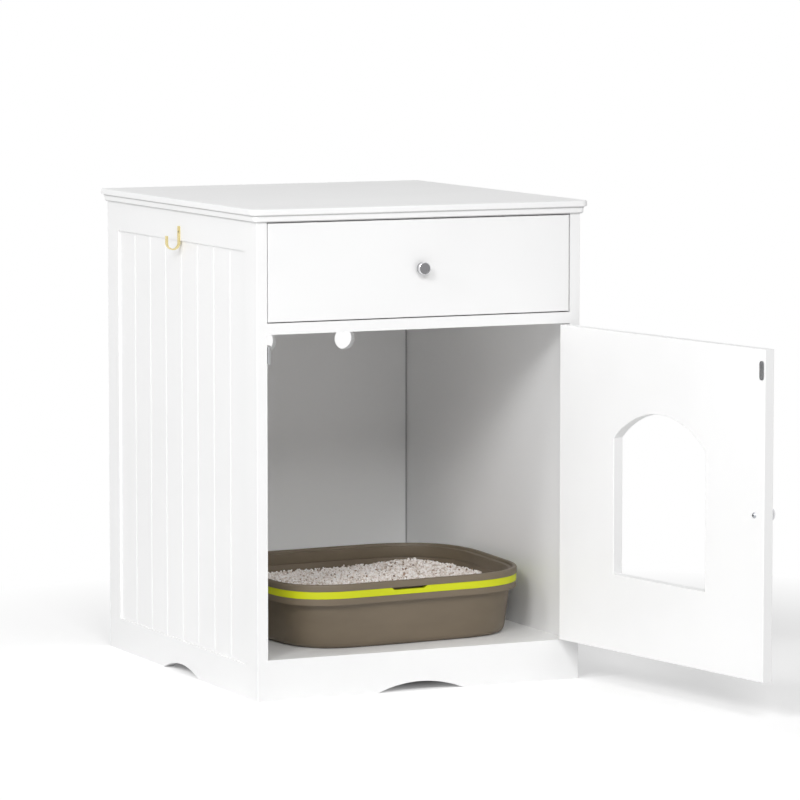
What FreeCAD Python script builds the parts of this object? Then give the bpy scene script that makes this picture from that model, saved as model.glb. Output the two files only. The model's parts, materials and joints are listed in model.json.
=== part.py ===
"""Litter box enclosure: a painted cabinet with a drawer, an arched door and a litter pan.

Millimetres, +Z up, the front faces -Y. The origin is on the floor, under the middle of
the back panel's lower edge. The door stands open as in use, and the drawer is shut.
"""

import FreeCAD, Part
import math
import os

V = FreeCAD.Vector
X_AXIS, Y_AXIS, Z_AXIS = V(1, 0, 0), V(0, 1, 0), V(0, 0, 1)

# Cabinet body
BODY_W = 480.0
BODY_D = 540.0
BODY_H = 642.0
PANEL_T = 15.0
BACK_T = 12.0
BACK_GAP = 0.4
DECK_TOP = 56.0
BAY_H = 134.5
ARRIS_R = 1.0

# Moulded top, one board with a nose, a cove and a bead under it
TOP_T = 18.0
TOP_OVERHANG = 10.0
BEAD_OUT = 5.0
BEAD_R = 3.5
BEAD_LIP = 2.5
NOSE_LOW_R = 1.0
NOSE_TOP_R = 2.5
TOP_CORNER_R = 1.0

# Side panels: a sunk field of upright planks
FIELD_EDGE = 40.0
FIELD_LOW = 46.0
FIELD_SINK = 3.0
PLANKS = 8
GROOVE_W = 3.0
GROOVE_DEPTH = 1.6

# Arched cuts at the floor, and vent holes in the back
FOOT_ARCH_W = 130.0
FOOT_ARCH_H = 13.0
VENT_R = 16.0
VENT_DROP = 60.5
VENT_PITCH = 125.0
VENTS = 3

# Door, shown swung open, with its arched way in
FRONT_GAP = 1.5
DOOR_OPEN = 99.25
HOLE_W = 200.0
HOLE_LOW = 162.0
HOLE_SPRING = 347.0
HOLE_TOP = 387.0

# Butt hinges
HINGE_H = 50.0
HINGE_END = 75.0
LEAF_T = 1.0
LEAF_W = 12.0
LEAF_CLEAR = 0.2
KNUCKLE_R = 2.5
KNUCKLE_GAP = 0.25
PIN_R = 1.25
PIN_CLEAR = 0.05
PIN_HEAD_R = 2.1
PIN_HEAD_T = 1.0

# Magnetic catch and its strike
STRIKE_L = 25.0
STRIKE_W = 8.0
STRIKE_T = 1.5
STRIKE_DROP = 27.5
STRIKE_EDGE = 2.0
CATCH_GAP = 0.3
CATCH_W = 13.0
CATCH_D = 20.0
CATCH_H = 26.0
EAR_L = 10.0
EAR_T = 3.0
POLE_T = 1.6
POLE_DEPTH = 12.0
POLE_PROUD = 0.4
POLE_MARGIN = 2.0
MAGNET_W = 5.0

# Knobs
KNOB_R = 8.5
KNOB_FOOT_R = 5.0
KNOB_NECK_R = 4.2
KNOB_NECK_L = 5.0
KNOB_HEAD_L = 8.6
KNOB_DOME = 1.6
KNOB_BEVEL = 1.2
KNOB_FACE_R = 1.0
KNOB_EDGE = 20.0
BOLT_R = 2.0
BOLT_HEAD_R = 4.0
BOLT_HEAD_T = 2.4
BOLT_DOME_R = 4.6
BOLT_GRIP = 8.0

# Drawer box
DRAWER_T = 12.0
DRAWER_HEAD = 29.5
DRAWER_L = 450.0
DRAWER_LIFT = 10.0
DRAWER_FLOOR_T = 4.0
FLOOR_UP = 8.0
FLOOR_SEAT = 5.0
FLOOR_CLEAR = 0.2

# Ball runners
RUNNER_T = 12.7
RUNNER_L = 400.0
RUNNER_H = 35.0
RUNNER_SET = 1.0
RAIL_T = 1.0
RAIL_LIP = 1.5
RAIL_WALL_GAP = 1.5
RAIL_BOX_GAP = 1.8
RUNNER_SCREW_END = 32.0
DRAWER_TRAVEL = 300.0
BALL_R = 2.0
BALL_CLEAR = 0.1
BALLS = 3
CAGE_T = 0.8
CAGE_SIDE = 2.6

# Fasteners
SCREW_R = 1.6
SCREW_HEAD_R = 3.2
SCREW_L = 12.0
LONG_SCREW_R = 2.0
LONG_SCREW_HEAD_R = 4.0
LONG_SCREW_L = 40.0
SCREW_SINK = 0.3
CAM_R = 7.5
CAM_T = 11.5
CAM_SET = 24.0
CAM_BOLT_R = 3.0
CAM_BOLT_GRIP = 10.0
CAM_INSET = 60.0
CAM_SLOT_W = 1.9
CAM_SLOT_DEPTH = 2.3
CAM_CLEAR = 0.2
DRAWER_CAM_R = 6.0
DRAWER_CAM_T = 9.6
DOWEL_R = 4.0
DOWEL_L = 28.0

# Scoop hook, a bent strip
HOOK_W = 7.0
HOOK_T = 1.6
HOOK_DROP = 20.0
HOOK_STEM = 23.0
HOOK_BEND_R = 9.0
HOOK_TIP = 9.0
HOOK_SCREW_DROP = 8.0

# Litter pan, turned a little as it was pushed in
PAN_ROOM = 52.0
PAN_W = 343.0
PAN_R = 122.0
PAN_TURN = 12.0
PAN_X = 8.6
PAN_SETBACK = 213.4
PAN_WALL = 2.2
PAN_LIP_Z = 72.0
PAN_SKIRT_H = 9.0
PAN_SKIRT_IN = 1.0
PAN_WALL_IN = 9.0
PAN_FOOT_IN = 28.0
PAN_FOOT_R = 10.0
BAND_H = 10.0
BAND_IN = 0.6
BAND_NOTCH_L = 50.0
BAND_NOTCH_H = 3.0
BAND_NOTCH_DEPTH = 4.0
RIM_H = 9.5
RIM_SEAT = 0.3
RIM_R = 2.6
RIM_WALL = 2.4
LITTER_H = 66.0
LITTER_CROWN = 10.0
LITTER_CLEAR = 0.3
LITTER_SHOULDER = 60.0

# Planes that the pieces share
FRONT_Y = BACK_T / 2 - BODY_D
BACK_Y = BACK_T / 2
BACK_FACE_Y = -BACK_T / 2
SIDE_X = BODY_W / 2
INNER_X = SIDE_X - PANEL_T
DECK_LOW = DECK_TOP - PANEL_T
DIVIDER_TOP = BODY_H - BAY_H
DIVIDER_LOW = DIVIDER_TOP - PANEL_T
VENT_Z = DIVIDER_LOW - VENT_DROP
DOOR_LOW = DECK_TOP + FRONT_GAP
DOOR_TOP = DIVIDER_LOW - FRONT_GAP
DOOR_X = INNER_X - FRONT_GAP
STRIKE_Z = DOOR_TOP - STRIKE_DROP
DRAWER_FRONT_LOW = DIVIDER_TOP + FRONT_GAP
DRAWER_FRONT_TOP = BODY_H - FRONT_GAP
HINGE_X = INNER_X - FRONT_GAP / 2
HINGE_Y = FRONT_Y - KNUCKLE_R
FIELD_BACK = BACK_Y - FIELD_EDGE
FIELD_FRONT = FRONT_Y + FIELD_EDGE
FIELD_TOP = BODY_H - FIELD_EDGE
BOX_X = INNER_X - RUNNER_T
BOX_LOW = DIVIDER_TOP + DRAWER_LIFT
BOX_TOP = BODY_H - DRAWER_HEAD
DRAWER_H = BOX_TOP - BOX_LOW
BOX_FRONT = FRONT_Y + PANEL_T
BOX_BACK = BOX_FRONT + DRAWER_L
RUNNER_Z = (BOX_LOW + BOX_TOP) / 2
RUNNER_FRONT = BOX_FRONT + RUNNER_SET
CAGE_L = RUNNER_L - DRAWER_TRAVEL
HOOK_TOP = BODY_H - HOOK_DROP
HOOK_BEND_Z = HOOK_TOP - HOOK_STEM
HOOK_TIP_Z = HOOK_BEND_Z + HOOK_TIP
PAN_L = 2 * INNER_X - PAN_ROOM
PAN_Y = FRONT_Y + PAN_SETBACK
PAN_DRAFT = (PAN_FOOT_IN - PAN_WALL_IN) / PAN_LIP_Z
RIM_DROP = BAND_H - RIM_SEAT


def box(x0, x1, y0, y1, z0, z1):
    """A block between two corners."""
    return Part.makeBox(x1 - x0, y1 - y0, z1 - z0, V(x0, y0, z0))


def rod(radius, start, way, length):
    """A round bar from a point along a direction."""
    return Part.makeCylinder(radius, length, start, way)


def mirrored(shape):
    """The same piece for the other side of the cabinet."""
    return shape.mirror(V(0, 0, 0), X_AXIS)


def joined(shapes):
    """Touching shapes made one solid, with the seams between them cleared."""
    return shapes[0].multiFuse(shapes[1:]).removeSplitter()


def group(shapes):
    """Alike pieces kept apart in one node."""
    return Part.makeCompound(shapes)


def eased(shape, radius, wanted):
    """Rounds the edges whose bounds the test accepts."""
    edges = [edge for edge in shape.Edges if wanted(edge.BoundBox)]
    return shape.makeFillet(radius, edges) if edges else shape


def lies_in(low, high, value):
    """True for an edge that stays in one plane at this value."""
    return abs(low - value) < 0.01 and abs(high - value) < 0.01


def turned(points, ends):
    """A closed wire through points, with the arc middles given as (index, point)."""
    middles = dict(ends)
    edges = []
    for index, start in enumerate(points):
        end = points[(index + 1) % len(points)]
        if index in middles:
            edges.append(Part.Arc(start, middles[index], end).toShape())
        else:
            edges.append(Part.LineSegment(start, end).toShape())
    return Part.Wire(edges)


def arc_middle(centre_a, centre_b, radius, degrees):
    """A point on a circle in a flat profile's own two axes."""
    angle = math.radians(degrees)
    return centre_a + radius * math.cos(angle), centre_b + radius * math.sin(angle)


def section(place, points, middles):
    """A flat face from a profile's points and arc middles, set in space by place."""
    arcs = [(index, place(*point)) for index, point in middles.items()]
    return Part.Face(turned([place(*point) for point in points], arcs))


def nosing_face(place, inner):
    """The top board's section: bead, lip, cove and rounded nose, from inner to its edge."""
    cove_r = TOP_OVERHANG - BEAD_OUT - NOSE_LOW_R
    top = BODY_H + TOP_T
    bead_top = BODY_H + BEAD_R
    cove_low = bead_top + BEAD_LIP
    nose_low = cove_low + cove_r
    outline = [
        (inner, BODY_H),
        (BEAD_OUT - BEAD_R, BODY_H),
        (BEAD_OUT, bead_top),
        (BEAD_OUT, cove_low),
        (BEAD_OUT + cove_r, nose_low),
        (TOP_OVERHANG, nose_low + NOSE_LOW_R),
        (TOP_OVERHANG, top - NOSE_TOP_R),
        (TOP_OVERHANG - NOSE_TOP_R, top),
        (inner, top),
    ]
    middles = {
        1: arc_middle(BEAD_OUT - BEAD_R, bead_top, BEAD_R, -45),
        3: arc_middle(BEAD_OUT + cove_r, cove_low, cove_r, 135),
        4: arc_middle(BEAD_OUT + cove_r, nose_low + NOSE_LOW_R, NOSE_LOW_R, -45),
        6: arc_middle(TOP_OVERHANG - NOSE_TOP_R, top - NOSE_TOP_R, NOSE_TOP_R, 45),
    }
    return section(place, outline, middles)


def top_panel():
    """The top board: straight moulded runs on three sides, turned round at the corners."""
    corner_x = SIDE_X - TOP_CORNER_R
    corner_y = FRONT_Y + TOP_CORNER_R
    side = nosing_face(lambda u, z: V(SIDE_X + u, corner_y, z), -SIDE_X)
    side = side.extrude(V(0, BACK_Y - corner_y, 0))
    front = nosing_face(lambda u, z: V(-corner_x, FRONT_Y - u, z), -BODY_D)
    front = front.extrude(V(2 * corner_x, 0, 0))
    corner = nosing_face(lambda u, z: V(corner_x + TOP_CORNER_R + u, corner_y, z), -TOP_CORNER_R)
    corner = corner.revolve(V(corner_x, corner_y, 0), Z_AXIS, -90)
    return joined([front, side, mirrored(side), corner, mirrored(corner)])


def foot_arch(centre, along, way):
    """A shallow round cut at the floor, run through a board along a direction."""
    radius = (FOOT_ARCH_W ** 2 / 4 + FOOT_ARCH_H ** 2) / (2 * FOOT_ARCH_H)
    start = centre + V(0, 0, FOOT_ARCH_H - radius) - way * along
    return rod(radius, start, way, 2 * along)


def plank_grooves():
    """Upright V grooves in the right panel's sunk field, cut from its face."""
    face_x = SIDE_X - FIELD_SINK
    pitch = (FIELD_BACK - FIELD_FRONT) / PLANKS
    cutters = []
    for index in range(1, PLANKS):
        y = FIELD_FRONT + pitch * index
        corners = [
            V(face_x, y - GROOVE_W / 2, FIELD_LOW),
            V(face_x, y + GROOVE_W / 2, FIELD_LOW),
            V(face_x - GROOVE_DEPTH, y, FIELD_LOW),
        ]
        section = Part.Face(turned(corners, []))
        cutters.append(section.extrude(V(0, 0, FIELD_TOP - FIELD_LOW)))
    return cutters


def side_panel():
    """The right side: a board with a sunk field of planks and a cut at the floor."""
    panel = box(INNER_X, SIDE_X, FRONT_Y, BACK_Y, 0, BODY_H)
    panel = eased(panel, ARRIS_R, lambda b: b.ZLength > BODY_H / 2
                  and lies_in(b.YMin, b.YMax, FRONT_Y) and lies_in(b.XMin, b.XMax, SIDE_X))
    field = box(SIDE_X - FIELD_SINK, SIDE_X, FIELD_FRONT, FIELD_BACK, FIELD_LOW, FIELD_TOP)
    middle = V(SIDE_X, (FRONT_Y + BACK_Y) / 2, 0)
    cutters = [field, foot_arch(middle, 2 * PANEL_T, X_AXIS)] + plank_grooves()
    return panel.cut(cutters)


def back_panel():
    """The back, standing on the floor between the sides, with its vent holes."""
    half = INNER_X - BACK_GAP
    panel = box(-half, half, BACK_FACE_Y, BACK_Y, 0, BODY_H)
    first = -VENT_PITCH * (VENTS - 1) / 2
    holes = [rod(VENT_R, V(first + VENT_PITCH * index, BACK_FACE_Y, VENT_Z), Y_AXIS, BACK_T)
             for index in range(VENTS)]
    return panel.cut(holes)


def plinth_board():
    """The board under the door, flush with the side panels, cut out at the floor."""
    board = box(-INNER_X, INNER_X, FRONT_Y, FRONT_Y + PANEL_T, 0, DECK_TOP)
    return board.cut(foot_arch(V(0, FRONT_Y, 0), 2 * PANEL_T, Y_AXIS))


def countersunk(at, way, head_r, shank_r, length):
    """A flat-headed screw: its head is flush at the point and it bites along the direction."""
    cone_h = head_r - shank_r
    head = Part.makeCone(head_r, shank_r, cone_h, at, way)
    return joined([head, rod(shank_r, at + way * cone_h, way, length - cone_h)])


def short_screw(at, way):
    """The small screw of the hinges, catch, strike, hook and runners."""
    return countersunk(at, way, SCREW_HEAD_R, SCREW_R, SCREW_L)


def long_screw(at, way):
    """The screw through the back panel and the drawer sides."""
    return countersunk(at, way, LONG_SCREW_HEAD_R, LONG_SCREW_R, LONG_SCREW_L)


def cam_pair(edge, inward, up):
    """A cam and its bolt: the bolt crosses the joint at edge, the cam's slot faces against up."""
    bolt = rod(CAM_BOLT_R, edge - inward * CAM_BOLT_GRIP, inward, CAM_BOLT_GRIP + CAM_SET)
    mouth = edge + inward * CAM_SET - up * (PANEL_T / 2)
    cam = rod(CAM_R, mouth, up, CAM_T)
    half = CAM_BOLT_R + CAM_CLEAR
    middle = PANEL_T / 2
    pocket = box(-half, half, -CAM_R, CAM_CLEAR, middle - half, middle + half)
    slot = box(-CAM_R, CAM_R, -CAM_SLOT_W / 2, CAM_SLOT_W / 2, 0, CAM_SLOT_DEPTH)
    seat = FreeCAD.Placement(mouth, FreeCAD.Rotation(inward.cross(up), inward, up, "ZXY"))
    for cutter in (pocket, slot):
        cutter.Placement = seat * cutter.Placement
    return cam.cut([pocket, slot]), bolt


def cam_places():
    """Where the cams sit: under the deck, over the divider and high inside the sides."""
    near = FRONT_Y + CAM_INSET
    far = BACK_FACE_Y - CAM_INSET
    places = []
    for y in (near, far):
        for hand in (-1, 1):
            inward = V(-hand, 0, 0)
            places.append((V(hand * INNER_X, y, DECK_TOP - PANEL_T / 2), inward, Z_AXIS))
            places.append((V(hand * INNER_X, y, DIVIDER_TOP - PANEL_T / 2), inward, V(0, 0, -1)))
            places.append((V(hand * (SIDE_X - PANEL_T / 2), y, BODY_H), V(0, 0, -1), V(hand, 0, 0)))
    return places


def dowels():
    """Dowels between the plinth board and the front edge of the deck."""
    z = DECK_TOP - PANEL_T / 2
    start_y = FRONT_Y + PANEL_T - DOWEL_L / 3
    return [rod(DOWEL_R, V(x, start_y, z), Y_AXIS, DOWEL_L) for x in (-INNER_X / 2, 0, INNER_X / 2)]


def back_screw_places():
    """Where the back is screwed to the deck and the divider, on its outer face."""
    heights = (DECK_TOP - PANEL_T / 2, DIVIDER_TOP - PANEL_T / 2)
    return [V(x, BACK_Y, z) for z in heights for x in (-INNER_X / 2, 0, INNER_X / 2)]


def back_screws():
    """Screws from behind into the deck and the divider, a little under the surface."""
    return [long_screw(at - Y_AXIS * SCREW_SINK, -Y_AXIS) for at in back_screw_places()]


def knob(at, way):
    """A turned knob: foot, waist and a drum head with a domed face."""
    neck = KNOB_NECK_L
    head = neck + KNOB_HEAD_L
    points = [
        V(0, 0, 0),
        V(KNOB_FOOT_R, 0, 0),
        V(KNOB_FOOT_R, 0, neck),
        V(KNOB_R - KNOB_BEVEL, 0, neck),
        V(KNOB_R, 0, neck + KNOB_BEVEL),
        V(KNOB_R, 0, head - KNOB_FACE_R),
        V(KNOB_R - KNOB_FACE_R, 0, head),
        V(0, 0, head + KNOB_DOME),
    ]
    fall = arc_middle(KNOB_R - KNOB_FACE_R, head - KNOB_FACE_R, KNOB_FACE_R, 45)
    half = KNOB_R - KNOB_FACE_R
    dome_r = (half ** 2 + KNOB_DOME ** 2) / (2 * KNOB_DOME)
    half_turn = math.degrees(math.asin(half / dome_r)) / 2
    dome = arc_middle(0, head + KNOB_DOME - dome_r, dome_r, 90 - half_turn)
    arcs = [
        (1, V(KNOB_NECK_R, 0, neck / 2)),
        (5, V(fall[0], 0, fall[1])),
        (6, V(dome[0], 0, dome[1])),
    ]
    solid = Part.Face(turned(points, arcs)).revolve(V(0, 0, 0), Z_AXIS, 360)
    solid.Placement = FreeCAD.Placement(at, FreeCAD.Rotation(Z_AXIS, way))
    return solid


def knob_bolt(at, way):
    """The bolt of a knob: its round head bears on a board's inner face at the point."""
    dome = Part.makeSphere(BOLT_DOME_R, at + way * (BOLT_DOME_R - BOLT_HEAD_T), way)
    head = rod(BOLT_HEAD_R, at - way * BOLT_HEAD_T, way, BOLT_HEAD_T).common(dome)
    return joined([head, rod(BOLT_R, at, way, PANEL_T + BOLT_GRIP)])


def door_panel():
    """The door as shut: a flat board with rounded arrises and the arched way in."""
    panel = box(-DOOR_X, DOOR_X, FRONT_Y, FRONT_Y + PANEL_T, DOOR_LOW, DOOR_TOP)
    half = HOLE_W / 2
    y = FRONT_Y
    corners = [
        V(-half, y, HOLE_LOW),
        V(half, y, HOLE_LOW),
        V(half, y, HOLE_SPRING),
        V(-half, y, HOLE_SPRING),
    ]
    hole = Part.Face(turned(corners, [(2, V(0, y, HOLE_TOP))])).extrude(V(0, PANEL_T, 0))
    panel = panel.cut(hole)
    return eased(panel, ARRIS_R, lambda b: lies_in(b.YMin, b.YMax, FRONT_Y)
                 or lies_in(b.YMin, b.YMax, FRONT_Y + PANEL_T))


def swung(shape):
    """A piece of the shut door, brought round its hinge pins to where it stands open."""
    shape = shape.copy()
    shape.rotate(V(HINGE_X, HINGE_Y, 0), Z_AXIS, DOOR_OPEN)
    return shape


def hinge(low):
    """A butt hinge as shut: the fixed leaf, the door leaf, the pin and two pairs of screws."""
    knuckle_h = (HINGE_H - 2 * KNUCKLE_GAP) / 3
    spans = [(low + index * (knuckle_h + KNUCKLE_GAP), knuckle_h) for index in range(3)]
    centre = V(HINGE_X, HINGE_Y, 0)
    leaves = []
    for hand, own, bore_r in ((1, (0, 2), PIN_R), (-1, (1,), PIN_R + PIN_CLEAR)):
        inner = HINGE_X + hand * LEAF_CLEAR / 2
        outer = inner + hand * LEAF_T
        plate = box(min(inner, outer), max(inner, outer), HINGE_Y, FRONT_Y + LEAF_W, low, low + HINGE_H)
        other = [index for index in range(3) if index not in own]
        room = [rod(KNUCKLE_R + KNUCKLE_GAP, centre + V(0, 0, spans[index][0] - KNUCKLE_GAP), Z_AXIS,
                    knuckle_h + 2 * KNUCKLE_GAP) for index in other]
        plate = plate.cut(room)
        barrels = [rod(KNUCKLE_R, centre + V(0, 0, spans[index][0]), Z_AXIS, knuckle_h) for index in own]
        leaf = joined([plate] + barrels)
        leaves.append(leaf.cut(rod(bore_r, centre + V(0, 0, low), Z_AXIS, HINGE_H)))
    pin = rod(PIN_R, centre + V(0, 0, low), Z_AXIS, HINGE_H)
    heads = [rod(PIN_HEAD_R, centre + V(0, 0, z), Z_AXIS, PIN_HEAD_T)
             for z in (low - PIN_HEAD_T, low + HINGE_H)]
    screw_y = FRONT_Y + (LEAF_W + SCREW_R) / 2
    heights = (low + knuckle_h / 2, low + HINGE_H - knuckle_h / 2)
    fixed = [short_screw(V(HINGE_X + LEAF_CLEAR / 2, screw_y, z), X_AXIS) for z in heights]
    moving = [short_screw(V(HINGE_X - LEAF_CLEAR / 2, screw_y, z), -X_AXIS) for z in heights]
    return leaves[0].cut(fixed), leaves[1].cut(moving), joined([pin] + heads), fixed, moving


def strike_plate():
    """The capsule-shaped steel strike on the inside of the shut door."""
    x = -DOOR_X + STRIKE_EDGE + STRIKE_W / 2
    half = (STRIKE_L - STRIKE_W) / 2
    r = STRIKE_W / 2
    y = FRONT_Y + PANEL_T
    low, high = STRIKE_Z - half, STRIKE_Z + half
    corners = [V(x - r, y, low), V(x + r, y, low), V(x + r, y, high), V(x - r, y, high)]
    arcs = [(0, V(x, y, low - r)), (2, V(x, y, high + r))]
    plate = Part.Face(turned(corners, arcs)).extrude(V(0, STRIKE_T, 0))
    screws = [short_screw(V(x, y + STRIKE_T, z), -Y_AXIS) for z in (low, high)]
    return plate, screws


def catch_parts():
    """The magnetic catch on the left side: eared housing, two poles, magnet and screws."""
    front = FRONT_Y + PANEL_T + STRIKE_T + CATCH_GAP + POLE_PROUD
    back = front + CATCH_D
    wall = -INNER_X
    half = CATCH_H / 2
    body = box(wall, wall + CATCH_W, front, back, STRIKE_Z - half, STRIKE_Z + half)
    body = eased(body, ARRIS_R, lambda b: b.XMax > wall + CATCH_W - 0.01 and b.XMin > wall + 0.01)
    ears = box(wall, wall + EAR_T, front, back, STRIKE_Z - half - EAR_L, STRIKE_Z + half + EAR_L)
    ears = eased(ears, CATCH_D / 4, lambda b: b.YLength < 0.01 and b.ZLength < 0.01)
    housing = joined([body, ears])
    middle = wall + STRIKE_W / 2 + STRIKE_EDGE
    tall = CATCH_H / 2 - POLE_MARGIN
    poles = []
    for hand in (-1, 1):
        near = middle + hand * MAGNET_W / 2
        far = near + hand * POLE_T
        poles.append(box(min(near, far), max(near, far), front - POLE_PROUD, front + POLE_DEPTH,
                         STRIKE_Z - tall, STRIKE_Z + tall))
    magnet = box(middle - MAGNET_W / 2, middle + MAGNET_W / 2, front, front + POLE_DEPTH,
                 STRIKE_Z - tall, STRIKE_Z + tall)
    screw_y = (front + back) / 2
    screws = [short_screw(V(wall + EAR_T, screw_y, STRIKE_Z + hand * (half + EAR_L / 2)), -X_AXIS)
              for hand in (-1, 1)]
    return housing.cut(poles + [magnet] + screws), poles, magnet, screws


def drawer_front():
    """The drawer's face board, inset between the sides."""
    panel = box(-DOOR_X, DOOR_X, FRONT_Y, FRONT_Y + PANEL_T, DRAWER_FRONT_LOW, DRAWER_FRONT_TOP)
    panel = eased(panel, ARRIS_R, lambda b: lies_in(b.YMin, b.YMax, FRONT_Y))
    seat = FLOOR_SEAT + FLOOR_CLEAR
    half = BOX_X - DRAWER_T + seat
    low = BOX_LOW + FLOOR_UP
    return panel.cut(box(-half, half, BOX_FRONT - seat, BOX_FRONT, low, low + DRAWER_FLOOR_T + FLOOR_CLEAR))


def drawer_side():
    """The right drawer side, grooved for the floor, with its upper edge rounded."""
    side = box(BOX_X - DRAWER_T, BOX_X, BOX_FRONT, BOX_BACK, BOX_LOW, BOX_TOP)
    side = eased(side, 2 * ARRIS_R, lambda b: b.YLength > DRAWER_L / 2 and b.ZMin > BOX_TOP - 0.01)
    low = BOX_LOW + FLOOR_UP
    seat = FLOOR_SEAT + FLOOR_CLEAR
    inner = BOX_X - DRAWER_T
    groove = box(inner, inner + seat, BOX_FRONT, BOX_BACK, low, low + DRAWER_FLOOR_T + FLOOR_CLEAR)
    return side.cut(groove)


def drawer_back():
    """The drawer's back, standing on the drawer floor between the sides."""
    half = BOX_X - DRAWER_T
    floor_top = BOX_LOW + FLOOR_UP + DRAWER_FLOOR_T
    return box(-half, half, BOX_BACK - DRAWER_T, BOX_BACK, floor_top, BOX_TOP - 2 * ARRIS_R)


def drawer_floor():
    """The thin floor, slid into the grooves of the front and the sides."""
    half = BOX_X - DRAWER_T + FLOOR_SEAT
    low = BOX_LOW + FLOOR_UP
    return box(-half, half, BOX_FRONT - FLOOR_SEAT, BOX_BACK, low, low + DRAWER_FLOOR_T)


def drawer_cams():
    """Cams in the drawer sides that hold the drawer front, with their bolts."""
    pairs = []
    for hand in (-1, 1):
        x = hand * (BOX_X - DRAWER_T / 2)
        for z in (BOX_LOW + DRAWER_H / 3, BOX_TOP - DRAWER_H / 5):
            edge = V(x, BOX_FRONT, z)
            bolt = rod(CAM_BOLT_R, edge - Y_AXIS * CAM_BOLT_GRIP, Y_AXIS, CAM_BOLT_GRIP + CAM_SET)
            half = CAM_BOLT_R + CAM_CLEAR
            seat = edge.y + CAM_SET
            cam = rod(DRAWER_CAM_R, V(hand * (BOX_X - DRAWER_T), seat, z), V(hand, 0, 0), DRAWER_CAM_T)
            pocket = box(x - half, x + half, seat - DRAWER_CAM_R, seat + CAM_CLEAR, z - half, z + half)
            pairs.append((cam.cut(pocket), bolt))
    return pairs


def drawer_screws():
    """Screws through the drawer sides into the drawer back."""
    y = BOX_BACK - DRAWER_T / 2
    heights = (BOX_LOW + DRAWER_H / 3, BOX_TOP - DRAWER_H / 5)
    return [countersunk(V(hand * BOX_X, y, z), V(-hand, 0, 0), SCREW_HEAD_R, SCREW_R, LONG_SCREW_L)
            for hand in (-1, 1) for z in heights]


def channel(wall_x, lip_x, half_h, lip_way):
    """A bent steel rail along the runner: web at wall_x, flanges to lip_x, lips turned."""
    hand = 1 if lip_x > wall_x else -1
    y0, y1 = RUNNER_FRONT, RUNNER_FRONT + RUNNER_L

    def plate(xa, xb, za, zb):
        return box(min(xa, xb), max(xa, xb), y0, y1, RUNNER_Z + min(za, zb), RUNNER_Z + max(za, zb))

    pieces = [plate(wall_x, wall_x + hand * RAIL_T, -half_h, half_h)]
    for side in (-1, 1):
        inner = side * (half_h - RAIL_T)
        edge = side * half_h
        tip = edge + side * RAIL_LIP if lip_way > 0 else inner - side * RAIL_LIP
        pieces.append(plate(wall_x, lip_x, inner, edge))
        pieces.append(plate(lip_x - hand * RAIL_T, lip_x, inner if lip_way > 0 else edge, tip))
    rail = joined(pieces)
    bend_z = [RUNNER_Z - half_h, RUNNER_Z + half_h]
    return eased(rail, RAIL_T * 0.9, lambda b: b.YLength > RUNNER_L / 2 and lies_in(b.XMin, b.XMax, wall_x)
                 and any(lies_in(b.ZMin, b.ZMax, z) for z in bend_z))


def runner():
    """The right ball runner: fixed rail, drawer rail, two caged rows of balls and screws."""
    room = BALL_R + BALL_CLEAR
    outer_half = RUNNER_H / 2
    row_z = outer_half - RAIL_T - BALL_CLEAR - BALL_R
    inner_half = row_z - BALL_R - BALL_CLEAR
    outer_lip = BOX_X + RAIL_BOX_GAP
    inner_lip = INNER_X - RAIL_T - RAIL_WALL_GAP
    fixed = channel(INNER_X, outer_lip, outer_half, -1)
    moving = channel(BOX_X, inner_lip, inner_half, 1)
    ball_x = (outer_lip + inner_lip) / 2
    cage_front = RUNNER_FRONT + (RUNNER_L - CAGE_L) / 2
    pitch = CAGE_L / BALLS
    cages = []
    balls = []
    for side in (-1, 1):
        z = RUNNER_Z + side * row_z
        row = [V(ball_x, cage_front + pitch * (index + 0.5), z) for index in range(BALLS)]
        strip = box(ball_x - CAGE_SIDE, ball_x + CAGE_SIDE, cage_front, cage_front + CAGE_L,
                    z - CAGE_T / 2, z + CAGE_T / 2)
        windows = [box(at.x - room, at.x + room, at.y - room, at.y + room, z - CAGE_T, z + CAGE_T)
                   for at in row]
        cages.append(strip.cut(windows))
        balls += [Part.makeSphere(BALL_R, at) for at in row]
    places = (RUNNER_FRONT + RUNNER_SCREW_END, RUNNER_FRONT + RUNNER_L - RUNNER_SCREW_END)
    wall_screws = [short_screw(V(INNER_X - RAIL_T, y, RUNNER_Z), X_AXIS) for y in places]
    box_screws = [countersunk(V(BOX_X + RAIL_T, y, RUNNER_Z), -X_AXIS, SCREW_HEAD_R, SCREW_R,
                              DRAWER_T) for y in places]
    return fixed.cut(wall_screws), moving.cut(box_screws), cages, balls, wall_screws, box_screws


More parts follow.
